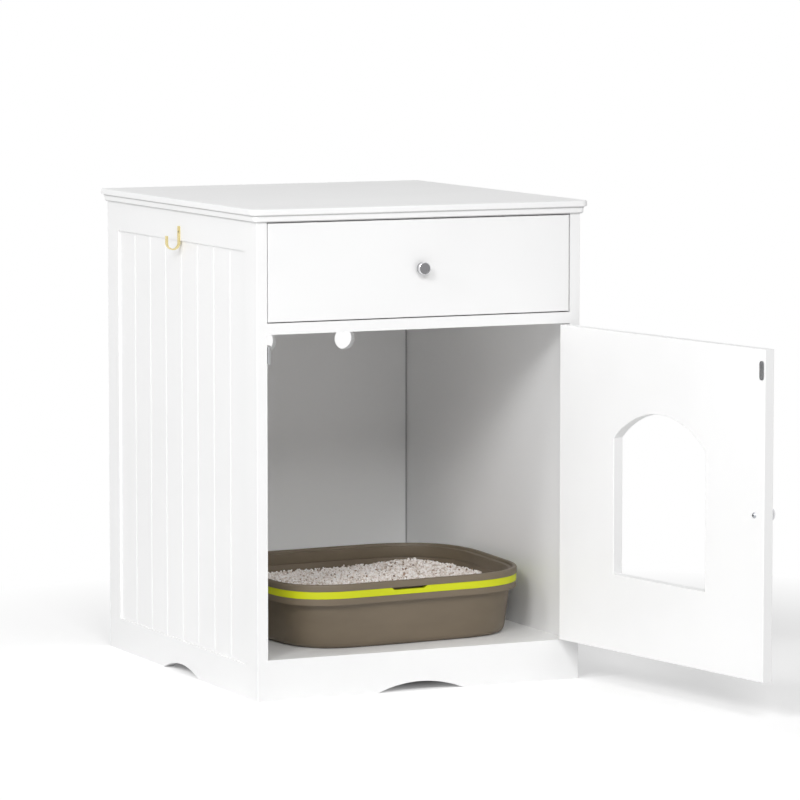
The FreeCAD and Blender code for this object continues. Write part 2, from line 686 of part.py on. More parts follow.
def scoop_hook():
    """The brass hook for the scoop: a flat strip bent to a J, screwed to the left side."""
    y = (FRONT_Y + BACK_Y) / 2 - HOOK_W / 2
    face = -SIDE_X
    centre = face - HOOK_T / 2 - HOOK_BEND_R
    inner = HOOK_BEND_R - HOOK_T / 2
    outer = HOOK_BEND_R + HOOK_T / 2
    left = centre - HOOK_BEND_R
    points = [
        V(face, y, HOOK_TOP),
        V(face - HOOK_T, y, HOOK_TOP),
        V(face - HOOK_T, y, HOOK_BEND_Z),
        V(centre - inner, y, HOOK_BEND_Z),
        V(left + HOOK_T / 2, y, HOOK_TIP_Z),
        V(left - HOOK_T / 2, y, HOOK_TIP_Z),
        V(centre - outer, y, HOOK_BEND_Z),
        V(face, y, HOOK_BEND_Z),
    ]
    arcs = [
        (2, V(centre, y, HOOK_BEND_Z - inner)),
        (4, V(left, y, HOOK_TIP_Z + HOOK_T / 2)),
        (6, V(centre, y, HOOK_BEND_Z - outer)),
    ]
    strip = Part.Face(turned(points, arcs)).extrude(V(0, HOOK_W, 0))
    strip = eased(strip, HOOK_W / 3, lambda b: lies_in(b.ZMin, b.ZMax, HOOK_TOP) and b.YLength < 0.01)
    screw = short_screw(V(face - HOOK_T, y + HOOK_W / 2, HOOK_TOP - HOOK_SCREW_DROP), X_AXIS)
    return strip.cut(screw), screw


def carried_round(points, middles):
    """A profile of (inset, height) points, carried round the pan's plan as adjoining pieces."""
    mid_x = PAN_L / 2 - PAN_R
    mid_y = PAN_W / 2 - PAN_R
    end = section(lambda u, z: V(mid_x + PAN_R - u, -mid_y, z), points, middles)
    end = end.extrude(V(0, 2 * mid_y, 0))
    side = section(lambda u, z: V(-mid_x, mid_y + PAN_R - u, z), points, middles)
    side = side.extrude(V(2 * mid_x, 0, 0))
    corner = section(lambda u, z: V(mid_x + PAN_R - u, mid_y, z), points, middles)
    corner = corner.revolve(V(mid_x, mid_y, 0), Z_AXIS, 90)
    half = [side, corner, mirrored(corner)]
    other = [shape.mirror(V(0, 0, 0), Y_AXIS) for shape in half]
    return half + other + [end, mirrored(end)]


def pan_core(low, high):
    """The block between the pan's four corner centres, which closes a floor or a filling."""
    mid_x = PAN_L / 2 - PAN_R
    mid_y = PAN_W / 2 - PAN_R
    return box(-mid_x, mid_x, -mid_y, mid_y, low, high)


def wall_inset(gap, z):
    """How far in a face lies at a height that follows the drafted wall, gap inside it."""
    return PAN_FOOT_IN + gap - PAN_DRAFT * z


def foot_bend(gap, floor, radius):
    """The bend from a floor into the wall: its start, its middle and its end."""
    slope = math.hypot(1, PAN_DRAFT)
    centre_z = floor + radius
    centre_u = wall_inset(gap, centre_z) + radius * slope
    lean = math.degrees(math.atan(PAN_DRAFT))
    start = (centre_u, floor)
    end = (centre_u - radius / slope, centre_z - radius * PAN_DRAFT / slope)
    return start, arc_middle(centre_u, centre_z, radius, lean / 2 - 135), end


def placed(shape):
    """A piece of the pan, set down on the deck and turned as it stands."""
    shape = shape.copy()
    shape.rotate(V(0, 0, 0), Z_AXIS, PAN_TURN)
    shape.translate(V(PAN_X, PAN_Y, DECK_TOP))
    return shape


def litter_pan():
    """The pan: a drafted shell with a rounded foot, a flange and a skirt turned down."""
    top = PAN_LIP_Z
    skirt = PAN_SKIRT_IN + PAN_WALL
    leave, outer_bend, rise = foot_bend(0, 0, PAN_FOOT_R)
    floor, inner_bend, wall = foot_bend(PAN_WALL, PAN_WALL, PAN_FOOT_R - PAN_WALL)
    profile = [
        (PAN_R, 0),
        leave,
        rise,
        (wall_inset(0, top - PAN_WALL), top - PAN_WALL),
        (skirt, top - PAN_WALL),
        (skirt, top - PAN_SKIRT_H),
        (PAN_SKIRT_IN, top - PAN_SKIRT_H),
        (PAN_SKIRT_IN, top),
        (wall_inset(PAN_WALL, top), top),
        wall,
        floor,
        (PAN_R, PAN_WALL),
    ]
    runs = carried_round(profile, {1: outer_bend, 9: inner_bend})
    return joined(runs + [pan_core(0, PAN_WALL)])


def pan_band():
    """The clamping band on the flange, with the notch of its latch at the front."""
    low = PAN_LIP_Z
    high = low + BAND_H
    profile = [(BAND_IN, low), (PAN_WALL_IN, low), (PAN_WALL_IN, high), (BAND_IN, high)]
    band = joined(carried_round(profile, {}))
    front = BAND_IN - PAN_W / 2
    half = BAND_NOTCH_L / 2
    return band.cut(box(-half, half, front, front + BAND_NOTCH_DEPTH, high - BAND_NOTCH_H, high))


def pan_rim():
    """The rim over the band: a hollow rounded cap with a wall that drops inside the band."""
    low = PAN_LIP_Z + BAND_H
    top = low + RIM_H
    inner = PAN_WALL_IN + PAN_WALL
    profile = [
        (0, low),
        (RIM_WALL, low),
        (RIM_WALL, top - RIM_WALL),
        (PAN_WALL_IN, top - RIM_WALL),
        (PAN_WALL_IN, low - RIM_DROP),
        (inner, low - RIM_DROP),
        (inner, top - RIM_R),
        (inner - RIM_R, top),
        (RIM_R, top),
        (0, top - RIM_R),
    ]
    middles = {
        6: arc_middle(inner - RIM_R, top - RIM_R, RIM_R, 45),
        8: arc_middle(RIM_R, top - RIM_R, RIM_R, 135),
    }
    return joined(carried_round(profile, middles))


def litter_fill():
    """The heaped litter, a little clear of the pan and crowned towards its middle."""
    gap = PAN_WALL + LITTER_CLEAR
    crest = LITTER_H + LITTER_CROWN
    leave, bend, rise = foot_bend(gap, gap, PAN_FOOT_R - gap)
    level = wall_inset(gap, LITTER_H)
    profile = [
        (PAN_R, gap),
        leave,
        rise,
        (level, LITTER_H),
        (level + LITTER_SHOULDER, crest),
        (PAN_R, crest),
    ]
    return joined(carried_round(profile, {1: bend}) + [pan_core(gap, crest)])


def carcass():
    """The fixed boards with every hole that their fasteners need, and those fasteners."""
    cams = []
    bolts = []
    for edge, inward, up in cam_places():
        cam, bolt = cam_pair(edge, inward, up)
        cams.append(cam)
        bolts.append(bolt)
    pockets = [rod(CAM_R, edge + inward * CAM_SET - up * (PANEL_T / 2), up, CAM_T)
               for edge, inward, up in cam_places()]
    pins = dowels()
    rear = back_screws()
    mouths = [rod(LONG_SCREW_HEAD_R, at, -Y_AXIS, SCREW_SINK) for at in back_screw_places()]
    side = side_panel()
    deck = box(-INNER_X, INNER_X, FRONT_Y + PANEL_T, BACK_FACE_Y, DECK_LOW, DECK_TOP)
    divider = box(-INNER_X, INNER_X, FRONT_Y, BACK_FACE_Y, DIVIDER_LOW, DIVIDER_TOP)
    holes = pockets + bolts
    return {
        "top_panel": top_panel().cut(bolts),
        "side_panel_left": mirrored(side).cut(holes),
        "side_panel_right": side.cut(holes),
        "back_panel": back_panel().cut(rear + mouths),
        "bottom_panel": deck.cut(holes + pins + rear),
        "divider_panel": divider.cut(holes + rear),
        "plinth_board": plinth_board().cut(pins),
        "cam_locks": group(cams),
        "cam_bolts": group(bolts),
        "plinth_dowels": group(pins),
        "back_screws": group(rear),
    }


def door(parts):
    """The door with its hinges, knob and strike, and the leaves' seats in the boards."""
    panel = door_panel()
    fixed_screws = []
    door_screws = []
    seats = []
    for name, low in (("lower", DOOR_LOW + HINGE_END), ("upper", DOOR_TOP - HINGE_END - HINGE_H)):
        fixed, moving, pin, into_side, into_door = hinge(low)
        parts["hinge_leaf_fixed_" + name] = fixed
        parts["hinge_leaf_door_" + name] = swung(moving)
        parts["hinge_pin_" + name] = pin
        fixed_screws += into_side
        door_screws += into_door
        seats.append(box(HINGE_X - LEAF_CLEAR / 2 - LEAF_T, HINGE_X + LEAF_CLEAR / 2 + LEAF_T,
                         FRONT_Y, FRONT_Y + LEAF_W, low, low + HINGE_H))
    plate, strike_screws = strike_plate()
    middle = V(-DOOR_X + KNOB_EDGE, FRONT_Y, (DOOR_LOW + DOOR_TOP) / 2)
    bolt = knob_bolt(middle + Y_AXIS * PANEL_T, -Y_AXIS)
    panel = panel.cut(seats + door_screws + strike_screws + [bolt])
    parts["door_panel"] = swung(panel)
    parts["door_knob"] = swung(knob(middle, -Y_AXIS).cut(bolt))
    parts["door_knob_bolt"] = swung(bolt)
    parts["strike_plate"] = swung(plate.cut(strike_screws))
    parts["strike_screws"] = swung(group(strike_screws))
    parts["hinge_screws_door"] = swung(group(door_screws))
    parts["hinge_screws_fixed"] = group(fixed_screws)
    parts["side_panel_right"] = parts["side_panel_right"].cut(seats + fixed_screws)


def catch(parts):
    """The magnetic catch on the left side panel."""
    housing, poles, magnet, screws = catch_parts()
    parts["catch_housing"] = housing
    parts["catch_poles"] = group(poles)
    parts["catch_magnet"] = magnet
    parts["catch_screws"] = group(screws)
    parts["side_panel_left"] = parts["side_panel_left"].cut(screws)


def drawer(parts):
    """The drawer box on its ball runners."""
    front = drawer_front()
    side = drawer_side()
    back = drawer_back()
    screws = drawer_screws()
    pairs = drawer_cams()
    cams = [cam for cam, bolt in pairs]
    bolts = [bolt for cam, bolt in pairs]
    fixed, moving, cages, balls, wall_screws, box_screws = runner()
    middle = V(0, FRONT_Y, (DRAWER_FRONT_LOW + DRAWER_FRONT_TOP) / 2)
    bolt = knob_bolt(middle + Y_AXIS * PANEL_T, -Y_AXIS)
    parts["drawer_front"] = front.cut(bolts + [bolt])
    held = side.cut(cams + bolts + screws + box_screws)
    parts["drawer_side_right"] = held
    parts["drawer_side_left"] = mirrored(held)
    parts["drawer_back"] = back.cut(screws)
    parts["drawer_floor"] = drawer_floor()
    parts["drawer_knob"] = knob(middle, -Y_AXIS).cut(bolt)
    parts["drawer_knob_bolt"] = bolt
    parts["drawer_cams"] = group(cams)
    parts["drawer_cam_bolts"] = group(bolts)
    parts["drawer_back_screws"] = group(screws)
    parts["runner_rail_fixed_right"] = fixed
    parts["runner_rail_fixed_left"] = mirrored(fixed)
    parts["runner_rail_drawer_right"] = moving
    parts["runner_rail_drawer_left"] = mirrored(moving)
    parts["ball_cages_right"] = group(cages)
    parts["ball_cages_left"] = group([mirrored(cage) for cage in cages])
    parts["runner_balls"] = group(balls + [mirrored(ball) for ball in balls])
    parts["runner_screws_fixed"] = group(wall_screws + [mirrored(screw) for screw in wall_screws])
    parts["runner_screws_drawer"] = group(box_screws + [mirrored(screw) for screw in box_screws])
    parts["side_panel_right"] = parts["side_panel_right"].cut(wall_screws)
    parts["side_panel_left"] = parts["side_panel_left"].cut([mirrored(screw) for screw in wall_screws])


def hook(parts):
    """The scoop hook on the left side panel."""
    strip, screw = scoop_hook()
    parts["scoop_hook"] = strip
    parts["hook_screw"] = screw
    parts["side_panel_left"] = parts["side_panel_left"].cut(screw)


def pan(parts):
    """The litter pan with its band, rim and litter, standing on the deck."""
    parts["litter_pan"] = placed(litter_pan())
    parts["pan_band"] = placed(pan_band())
    parts["pan_rim"] = placed(pan_rim())
    parts["litter_fill"] = placed(litter_fill())


def build():
    """Every node by name."""
    parts = carcass()
    door(parts)
    catch(parts)
    drawer(parts)
    hook(parts)
    pan(parts)
    return parts


def main():
    """Writes one file per node, and prints what each one holds."""
    os.makedirs("parts", exist_ok=True)
    for name, shape in sorted(build().items()):
        solids = shape.Solids
        whole = solids[0] if len(solids) == 1 else group(solids)
        whole.exportStep("parts/" + name + ".step")
        print(name, len(solids), "solid(s)", round(shape.Volume, 1), "mm3", "valid", shape.isValid())


main()
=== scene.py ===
"""Looks of a white litter box enclosure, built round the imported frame.

The frame gives every rigid piece. This script paints them, replaces the knobs, the pan and
the litter with finer surfaces, and adds the studio that the photograph was taken in.
"""

import json
import logging
import math
from dataclasses import dataclass, field
from enum import Enum

import bmesh
import bpy
import numpy as np
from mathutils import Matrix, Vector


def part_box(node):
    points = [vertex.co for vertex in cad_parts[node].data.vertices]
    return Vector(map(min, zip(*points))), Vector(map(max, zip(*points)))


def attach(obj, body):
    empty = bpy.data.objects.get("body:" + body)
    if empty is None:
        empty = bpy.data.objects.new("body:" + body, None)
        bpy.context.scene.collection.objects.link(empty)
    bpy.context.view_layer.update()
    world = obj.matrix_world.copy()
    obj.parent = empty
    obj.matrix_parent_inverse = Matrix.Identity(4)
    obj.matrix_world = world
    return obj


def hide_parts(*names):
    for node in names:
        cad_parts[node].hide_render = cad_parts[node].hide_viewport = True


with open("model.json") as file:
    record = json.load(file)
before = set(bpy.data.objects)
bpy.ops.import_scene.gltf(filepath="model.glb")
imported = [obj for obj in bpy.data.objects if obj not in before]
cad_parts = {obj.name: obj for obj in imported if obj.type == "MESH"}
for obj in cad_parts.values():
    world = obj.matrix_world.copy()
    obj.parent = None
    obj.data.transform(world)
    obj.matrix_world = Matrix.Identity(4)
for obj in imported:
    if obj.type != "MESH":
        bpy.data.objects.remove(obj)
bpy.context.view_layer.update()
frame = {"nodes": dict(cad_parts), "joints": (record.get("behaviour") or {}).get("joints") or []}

LOG = logging.getLogger("enclosure")

Array = np.ndarray
Material = bpy.types.Material
Pair = tuple[float, float]
Piece = bpy.types.Object
Socket = bpy.types.NodeSocket
Feeds = dict[str, Socket | float]
Triple = tuple[float, float, float]
MM = 0.001
SEED = 8
# The colour sockets of a mix node, by number, as others of it have the same names.
MIX_UNDER, MIX_OVER, MIX_RESULT = 6, 7, 2


class Body(str, Enum):
    """The moving bodies that pieces ride on."""

    CABINET = "cabinet"
    DOOR = "door"
    DRAWER = "drawer"
    PAN = "pan"


class Ends(Enum):
    """How a swept grid is closed where its profile starts and stops."""

    RING = "ring"
    POLES = "poles"


def linear(code: str) -> tuple[float, float, float, float]:
    """Turns an sRGB hex colour into linear light.

    c' = c / 12.92 up to 0.04045, and ((c + 0.055) / 1.055)^2.4 above it.

    Args:
        code: Six hex digits, red first.

    Returns:
        Linear red, green and blue, and an alpha of one.
    """
    parts = np.array([int(code[i:i + 2], 16) for i in (0, 2, 4)]) / 255.0
    light = np.where(parts <= 0.04045, parts / 12.92, ((parts + 0.055) / 1.055) ** 2.4)
    return (float(light[0]), float(light[1]), float(light[2]), 1.0)


@dataclass(frozen=True)
class Tree:
    """A node tree, with the steps by which finishes and studio draw their patterns."""

    nodes: bpy.types.NodeTree

    def add(self, kind: str, settings: dict | None = None,
            links: dict | None = None) -> bpy.types.Node:
        """Adds one node with its settings and the links into it.

        Args:
            kind: The node's type name.
            settings: Values by attribute name, or else by the input's name or number.
            links: Output sockets by the name or number of the input that they feed.

        Returns:
            The new node.
        """
        node = self.nodes.nodes.new(kind)
        for name, value in (settings or {}).items():
            if isinstance(name, str) and hasattr(node, name):
                setattr(node, name, value)
            else:
                node.inputs[name].default_value = value
        for name, socket in (links or {}).items():
            self.nodes.links.new(socket, node.inputs[name])
        return node

    def spot(self) -> Socket:
        """Gives the place on the object, in its own coordinates."""
        return self.add("ShaderNodeTexCoord").outputs["Object"]

    def calc(self, operation: str, first: Socket, second: Socket | float = 0.0) -> Socket:
        """Works out one operation on a pattern, alone or with a second term.

        Args:
            operation: The math node's operation.
            first: The first term.
            second: The second term, a pattern or a plain number.

        Returns:
            The result's output.
        """
        plain = {1: second} if isinstance(second, float) else {}
        drawn = {} if plain else {1: second}
        node = self.add("ShaderNodeMath", {"operation": operation, **plain}, {0: first, **drawn})
        return node.outputs[0]

    def noise(self, size_mm: float, detail: float = 2.0,
              stretch: Triple = (1.0, 1.0, 1.0)) -> Socket:
        """Adds noise on object coordinates, with one lump per size in millimetres.

        Args:
            size_mm: Real distance from lump to lump.
            detail: How many finer layers lie over it.
            stretch: Factors along X, Y and Z; a small one draws the pattern out that way.

        Returns:
            The noise's output.
        """
        drawn = self.add("ShaderNodeMapping", {"Scale": stretch}, {"Vector": self.spot()})
        lumps = self.add("ShaderNodeTexNoise", {"Scale": 1.0 / (size_mm * MM), "Detail": detail},
                         {"Vector": drawn.outputs["Vector"]})
        return lumps.outputs["Fac"]

    def blend(self, amount: Socket, low: str, high: str, span: Pair = (0.3, 0.7)) -> Socket:
        """Runs from one colour to another as a pattern rises.

        Args:
            amount: The pattern's output.
            low: Hex colour under the span.
            high: Hex colour over the span.
            span: Pattern values where the run starts and ends.

        Returns:
            The colour output.
        """
        ramp = self.add("ShaderNodeValToRGB", links={"Fac": amount})
        for element, at, code in zip(ramp.color_ramp.elements, span, (low, high)):
            element.position = at
            element.color = linear(code)
        return ramp.outputs["Color"]

    def lay_over(self, share: Socket, colour: Socket, code: str) -> Socket:
        """Lays a plain colour over a pattern of colours.

        Args:
            share: How far it covers, from 0 to 1.
            colour: The colours under it.
            code: Hex colour laid over them.

        Returns:
            The colour output.
        """
        mixed = self.add("ShaderNodeMix", {"data_type": "RGBA", MIX_OVER: linear(code)},
                         {"Factor": share, MIX_UNDER: colour})
        return mixed.outputs[MIX_RESULT]

    def vary(self, amount: Socket, low: float = 0.0, high: float = 1.0,
             span: Pair = (0.0, 1.0)) -> Socket:
        """Maps a span of a pattern to a low and a high value, and stops there.

        Args:
            amount: The pattern's output.
            low: Value at the span's start.
            high: Value at the span's end.
            span: The pattern's values at the start and the end.

        Returns:
            The mapped output.
        """
        limits = {"From Min": span[0], "From Max": span[1], "To Min": low, "To Max": high}
        return self.add("ShaderNodeMapRange", limits, {"Value": amount}).outputs["Result"]

    def relief(self, height: Socket, depth_mm: float) -> Socket:
        """Adds a bump of a real depth.

        Args:
            height: The pattern that gives the height.
            depth_mm: Depth from low to high.

        Returns:
            The bent normal.
        """
        return self.add("ShaderNodeBump", {"Strength": 1.0, "Distance": depth_mm * MM},
                        {"Height": height}).outputs["Normal"]


def start_tree(name: str) -> tuple[Material, Tree]:
    """Makes a material with an empty node tree.

    Args:
        name: The material's name.

    Returns:
        The material and its node tree.
    """
    material = bpy.data.materials.new(name)
    material.use_nodes = True
    material.node_tree.nodes.clear()
    return material, Tree(material.node_tree)


class Finish:
    """The look of a surface. Each kind of finish says what feeds its shader."""

    name: str

    def surface(self, tree: Tree) -> Feeds:
        """Draws the patterns.

        Args:
            tree: The node tree that they go into.

        Returns:
            A pattern's output or a plain number for each shader input by name.
        """
        raise NotImplementedError

    def make(self) -> Material:
        """Makes the material: one Principled shader, fed by the surface.

        Returns:
            The finished material.
        """
        material, tree = start_tree(self.name)
        feeds = self.surface(tree)
        plain = {name: value for name, value in feeds.items() if isinstance(value, float)}
        drawn = {name: value for name, value in feeds.items() if name not in plain}
        shader = tree.add("ShaderNodeBsdfPrincipled", plain, drawn)
        tree.add("ShaderNodeOutputMaterial", links={"Surface": shader.outputs["BSDF"]})
        return material


@dataclass(frozen=True)
class PaintedBoard(Finish):
    """Fibreboard with sprayed satin paint: near white, with a faint orange peel."""

    name: str = "sprayed_satin_paint"
    colour: str = "FAFAFA"
    shade: str = "F7F7F7"
    cloud_mm: float = 160.0
    peel_mm: float = 2.6
    peel_depth_mm: float = 0.02
    gloss: Pair = (0.34, 0.42)
    ior: float = 1.48

    def paint(self, tree: Tree) -> Socket:
        """Mixes two near whites by wide clouds."""
        return tree.blend(tree.noise(self.cloud_mm), self.shade, self.colour)

    def surface(self, tree: Tree) -> Feeds:
        """Paints the board, and bumps the film by fine droplets."""
        peel = tree.noise(self.peel_mm)
        return {"Base Color": self.paint(tree), "Roughness": tree.vary(peel, *self.gloss),
                "Normal": tree.relief(peel, self.peel_depth_mm), "IOR": self.ior}


@dataclass(frozen=True)
class ShadeLinedBoard(PaintedBoard):
    """The same paint with thin grey lines of painted shade, for the shade in a quirk or a joint.

    A line runs wherever the axis has one of the places, and only on faces before a given Y.
    """

    # line: colour of the painted shade.
    line: str = "A8A8A8"
    axis: str = "Z"
    places_mm: tuple[float, ...] = ()
    half_mm: float = 0.9
    before_y_mm: float = 4.0

    def paint(self, tree: Tree) -> Socket:
        """Darkens the paint towards each line, as painted shade.

        Args:
            tree: The node tree that the patterns go into.

        Returns:
            The colour output.
        """
        axes = tree.add("ShaderNodeSeparateXYZ", links={0: tree.spot()}).outputs
        ahead = tree.calc("LESS_THAN", axes["Y"], self.before_y_mm * MM)
        colour = super().paint(tree)
        for place_mm in self.places_mm:
            off = tree.calc("SUBTRACT", axes[self.axis], place_mm * MM)
            near = tree.vary(tree.calc("ABSOLUTE", off), span=(self.half_mm * MM, 0.0))
            # Painted shade: the line colour is laid over the paint near each place.
            colour = tree.lay_over(tree.calc("MULTIPLY", near, ahead), colour, self.line)
        return colour


@dataclass(frozen=True)
class PlatedMetal(Finish):
    """Metal with drawn or polished lines: grey nickel, zinc, steel or brass."""

    name: str
    colour: str
    shade: str
    gloss: Pair
    line_mm: float = 0.6
    line_depth_mm: float = 0.004
    stretch: Triple = (1.0, 0.05, 1.0)
    lines_per_stain: float = 14.0

    def plate(self, tree: Tree) -> Socket:
        """Varies the metal's colour by stains."""
        stains = tree.noise(self.line_mm * self.lines_per_stain)
        return tree.blend(stains, self.shade, self.colour)

    def surface(self, tree: Tree) -> Feeds:
        """Plates the metal, and bumps and dulls it along drawn lines."""
        lines = tree.noise(self.line_mm, detail=3.0, stretch=self.stretch)
        return {"Base Color": self.plate(tree), "Roughness": tree.vary(lines, *self.gloss),
                "Normal": tree.relief(lines, self.line_depth_mm), "Metallic": 1.0}


@dataclass(frozen=True)
class NickelWithPaintedReflection(PlatedMetal):
    """Nickel of a turned knob, with painted reflection: bright side, darker face and back."""

    # The darker tone of painted shade and reflection, on face and back.
    face: str = "88888A"
    share: str = "face"

    def plate(self, tree: Tree) -> Socket:
        """Lays the darker tone of painted shade over the metal by each vertex's stored share."""
        own = tree.add("ShaderNodeAttribute", {"attribute_name": self.share})
        return tree.lay_over(own.outputs["Fac"], super().plate(tree), self.face)


@dataclass(frozen=True)
class MouldedPlastic(Finish):
    """Injection moulded polypropylene: low gloss, a fine spark-eroded grain, soft flow marks."""

    name: str
    colour: str
    shade: str
    gloss: Pair = (0.4, 0.5)
    grain_mm: float = 0.9
    grain_depth_mm: float = 0.012
    flow_mm: float = 70.0
    flow_stretch: Triple = (0.5, 0.5, 1.6)
    ior: float = 1.49

    def surface(self, tree: Tree) -> Feeds:
        """Mixes two tones by flow marks, and bumps the face by the mould's grain.

        Args:
            tree: The node tree that the patterns go into.

        Returns:
            What feeds each shader input.
        """
        flow = tree.noise(self.flow_mm, detail=3.0, stretch=self.flow_stretch)
        grain = tree.noise(self.grain_mm, detail=1.0)
        return {"Base Color": tree.blend(flow, self.shade, self.colour),
                "Roughness": tree.vary(grain, *self.gloss),
                "Normal": tree.relief(grain, self.grain_depth_mm), "IOR": self.ior}


@dataclass(frozen=True)
class BareBeech(Finish):
    """Turned beech of the dowels: warm, with fine grain along the dowel."""

    name: str = "bare_beech"
    colour: str = "D9B98C"
    shade: str = "B98F5E"
    grain_mm: float = 1.2
    grain_depth_mm: float = 0.05
    stretch: Triple = (1.0, 0.08, 1.0)
    roughness: float = 0.7

    def surface(self, tree: Tree) -> Feeds:
        """Draws the grain out along Y, where the dowels lie."""
        grain = tree.noise(self.grain_mm, detail=4.0, stretch=self.stretch)
        return {"Base Color": tree.blend(grain, self.shade, self.colour),
                "Roughness": self.roughness, "Normal": tree.relief(grain, self.grain_depth_mm)}


@dataclass(frozen=True)
class LitterGranules(Finish):
    """Crushed pale granules: off white, some tan, a few brown, dusty and rough."""

    name: str = "pale_granules"
    tone: str = "tone"
    stops: tuple[tuple[float, str], ...] = (
        (0.0, "6E5644"), (0.03, "9C8069"), (0.07, "CFC2B6"), (0.25, "EDE4DD"), (0.6, "FAF4F0"),
        (1.0, "FFFDFB"))
    dust_mm: float = 0.8
    dust_depth_mm: float = 0.15
    roughness: float = 0.9

    def surface(self, tree: Tree) -> Feeds:
        """Colours each grain by its own tone, and bumps it with dust.

        Args:
            tree: The node tree that the patterns go into.

        Returns:
            What feeds each shader input.
        """
        own = tree.add("ShaderNodeAttribute", {"attribute_name": self.tone})
        ramp = tree.add("ShaderNodeValToRGB", links={"Fac": own.outputs["Fac"]})
        elements = ramp.color_ramp.elements
        elements[0].color = linear(self.stops[0][1])
        elements[1].color = linear(self.stops[-1][1])
        for at, code in self.stops[1:-1]:
            elements.new(at).color = linear(code)
        return {"Base Color": ramp.outputs["Color"], "Roughness": self.roughness,
                "Normal": tree.relief(tree.noise(self.dust_mm), self.dust_depth_mm)}


# Sprayed acrylic on fibreboard: clean white planes with a soft, wide sheen.
PAINT = PaintedBoard()
# The same paint on the turned top, with painted shade as two thin grey lines in its quirks.
MOULDING_PAINT_AND_SHADE = ShadeLinedBoard("moulding_paint_and_shade", places_mm=(650.6, 642.7))
# The same paint on the back panel: painted shade as a dark line where it meets the sides.
BACK_PAINT_AND_SHADE = ShadeLinedBoard("back_paint_and_shade", line="404040", axis="X", places_mm=(-225.0, 225.0),
                        half_mm=2.6, before_y_mm=-5.0)
# Polished nickel on the strike and the balls: a grey mirror with crisp lights.
NICKEL = PlatedMetal("bright_nickel", "A9A9AB", "8F8F92", gloss=(0.08, 0.16), line_mm=0.5,
                     line_depth_mm=0.001)
# Nickel of the knobs: a bright side round a darker face, a painted reflection at one gloss.
KNOB_NICKEL = NickelWithPaintedReflection("knob_nickel_painted_reflection", "EDEDEF", "D8D8DB", gloss=(0.08, 0.16), line_mm=0.5,
                         line_depth_mm=0.001)
# Zinc on pressed steel rails, leaves and screws: a pale, brushed grey.
ZINC = PlatedMetal("zinc_plate", "C9CBCE", "AEB1B6", gloss=(0.28, 0.42))
# Painted shade of a driver recess: a small dark cross.
RECESS_SHADE = PlatedMetal("recess_painted_shade", "4A4B4E", "333437", gloss=(0.4, 0.6))
# Lacquered brass strip of the hook: pale and warm, drawn along its height.
BRASS = PlatedMetal("lacquered_brass", "F0E0A4", "DCC988", gloss=(0.22, 0.34), line_mm=0.5,
                    line_depth_mm=0.003, stretch=(1.0, 1.0, 0.08))
# Raw cast zinc of the cams: dull, with a sandy skin.
CAST_ZINC = PlatedMetal("cast_zinc", "B4B6B9", "97999D", gloss=(0.45, 0.6), line_mm=1.2,
                        line_depth_mm=0.02, stretch=(1.0, 1.0, 1.0))
# Pressed ferrite with a plastic binder: near black and flat.
FERRITE = MouldedPlastic("ferrite", "35353A", "26262A", gloss=(0.6, 0.75))
# Moulded grey acetal of the catch: an even mid grey with little shine.
CATCH = MouldedPlastic("catch_acetal", "B2B2B2", "A4A4A5")
# Moulded polypropylene of the pan: warm grey brown, with soft low lights.
TAUPE = MouldedPlastic("taupe_polypropylene", "786B59", "6C604F")
# The pan's plastic again, a touch darker: painted shade on the rim.
RIM_TAUPE_SHADED = MouldedPlastic("taupe_rim_painted_shade", "766A58", "6A5F4E")
# Dyed polypropylene of the band: a bright yellow green that takes the eye.
LIME = MouldedPlastic("lime_polypropylene", "D2D800", "C4CB00", gloss=(0.46, 0.56))
# Bare beech of the dowels: warm and matt.
BEECH = BareBeech()
# Crushed mineral litter: pale, dusty, with a few brown grains.
GRAINS = LitterGranules()
MADE: dict[str, Material] = {}


def finish_of(finish: Finish) -> Material:
    """Gives a finish's material, made once and then shared.

    Args:
        finish: The finish.

    Returns:
        Its material.
    """
    if finish.name not in MADE:
        MADE[finish.name] = finish.make()
    return MADE[finish.name]


def dress(finish: Finish, *nodes: str) -> None:
    """Gives a finish to CAD nodes by name.

    Args:
        finish: The finish that they take.
        *nodes: Names of the nodes.
    """
    for name in nodes:
        mesh = frame["nodes"][name].data
        mesh.materials.clear()
        mesh.materials.append(finish_of(finish))
    LOG.info("%s on %d nodes", finish.name, len(nodes))


def soften(corners: Array, radii: Array, steps: int) -> Array:
    """Rounds the corners of a closed outline.

    Each corner C is left out for a curve from A to B, the points at its radius along its two
    edges: P(t) = (1-t)^2 A + 2 t (1-t) C + t^2 B.

    Args:
        corners: Corner points, one row each.
        radii: How far along its edges each corner's curve starts and ends.
        steps: Points per corner.

    Returns:
        The outline's points, one row each.
    """
    before = np.roll(corners, 1, axis=0) - corners
    after = np.roll(corners, -1, axis=0) - corners
    start = corners + before / np.linalg.norm(before, axis=1)[:, None] * radii[:, None]
    end = corners + after / np.linalg.norm(after, axis=1)[:, None] * radii[:, None]
    t = np.linspace(0.0, 1.0, steps)[None, :, None]
    curve = (1 - t) ** 2 * start[:, None] + 2 * t * (1 - t) * corners[:, None]
    curve = curve + t ** 2 * end[:, None]
    return curve.reshape(-1, corners.shape[1])


def section(rows: list[Triple], steps: int) -> Array:
    """Rounds a closed section whose rows hold inset, height and how far the corner's curve runs.

    Args:
        rows: The corners, in order round the section.
        steps: Points per corner.

    Returns:
        Inset and height, one row per point.
    """
    table = np.array(rows)
    return soften(table[:, :2], table[:, 2], steps)


def add_object(name: str, data: bpy.types.ID) -> Piece:
    """Makes an object of a mesh, a lamp or a camera, and links it into the scene.

    Args:
        name: The object's name.
        data: What it shows.

    Returns:
        The new object.
    """
    thing = bpy.data.objects.new(name, data)
    bpy.context.scene.collection.objects.link(thing)
    return thing


def corners_of(node: str) -> tuple[Array, Array]:
    """Gives the low and the high corner of a CAD node's box, in metres."""
    low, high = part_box(node)
    return np.array(low), np.array(high)


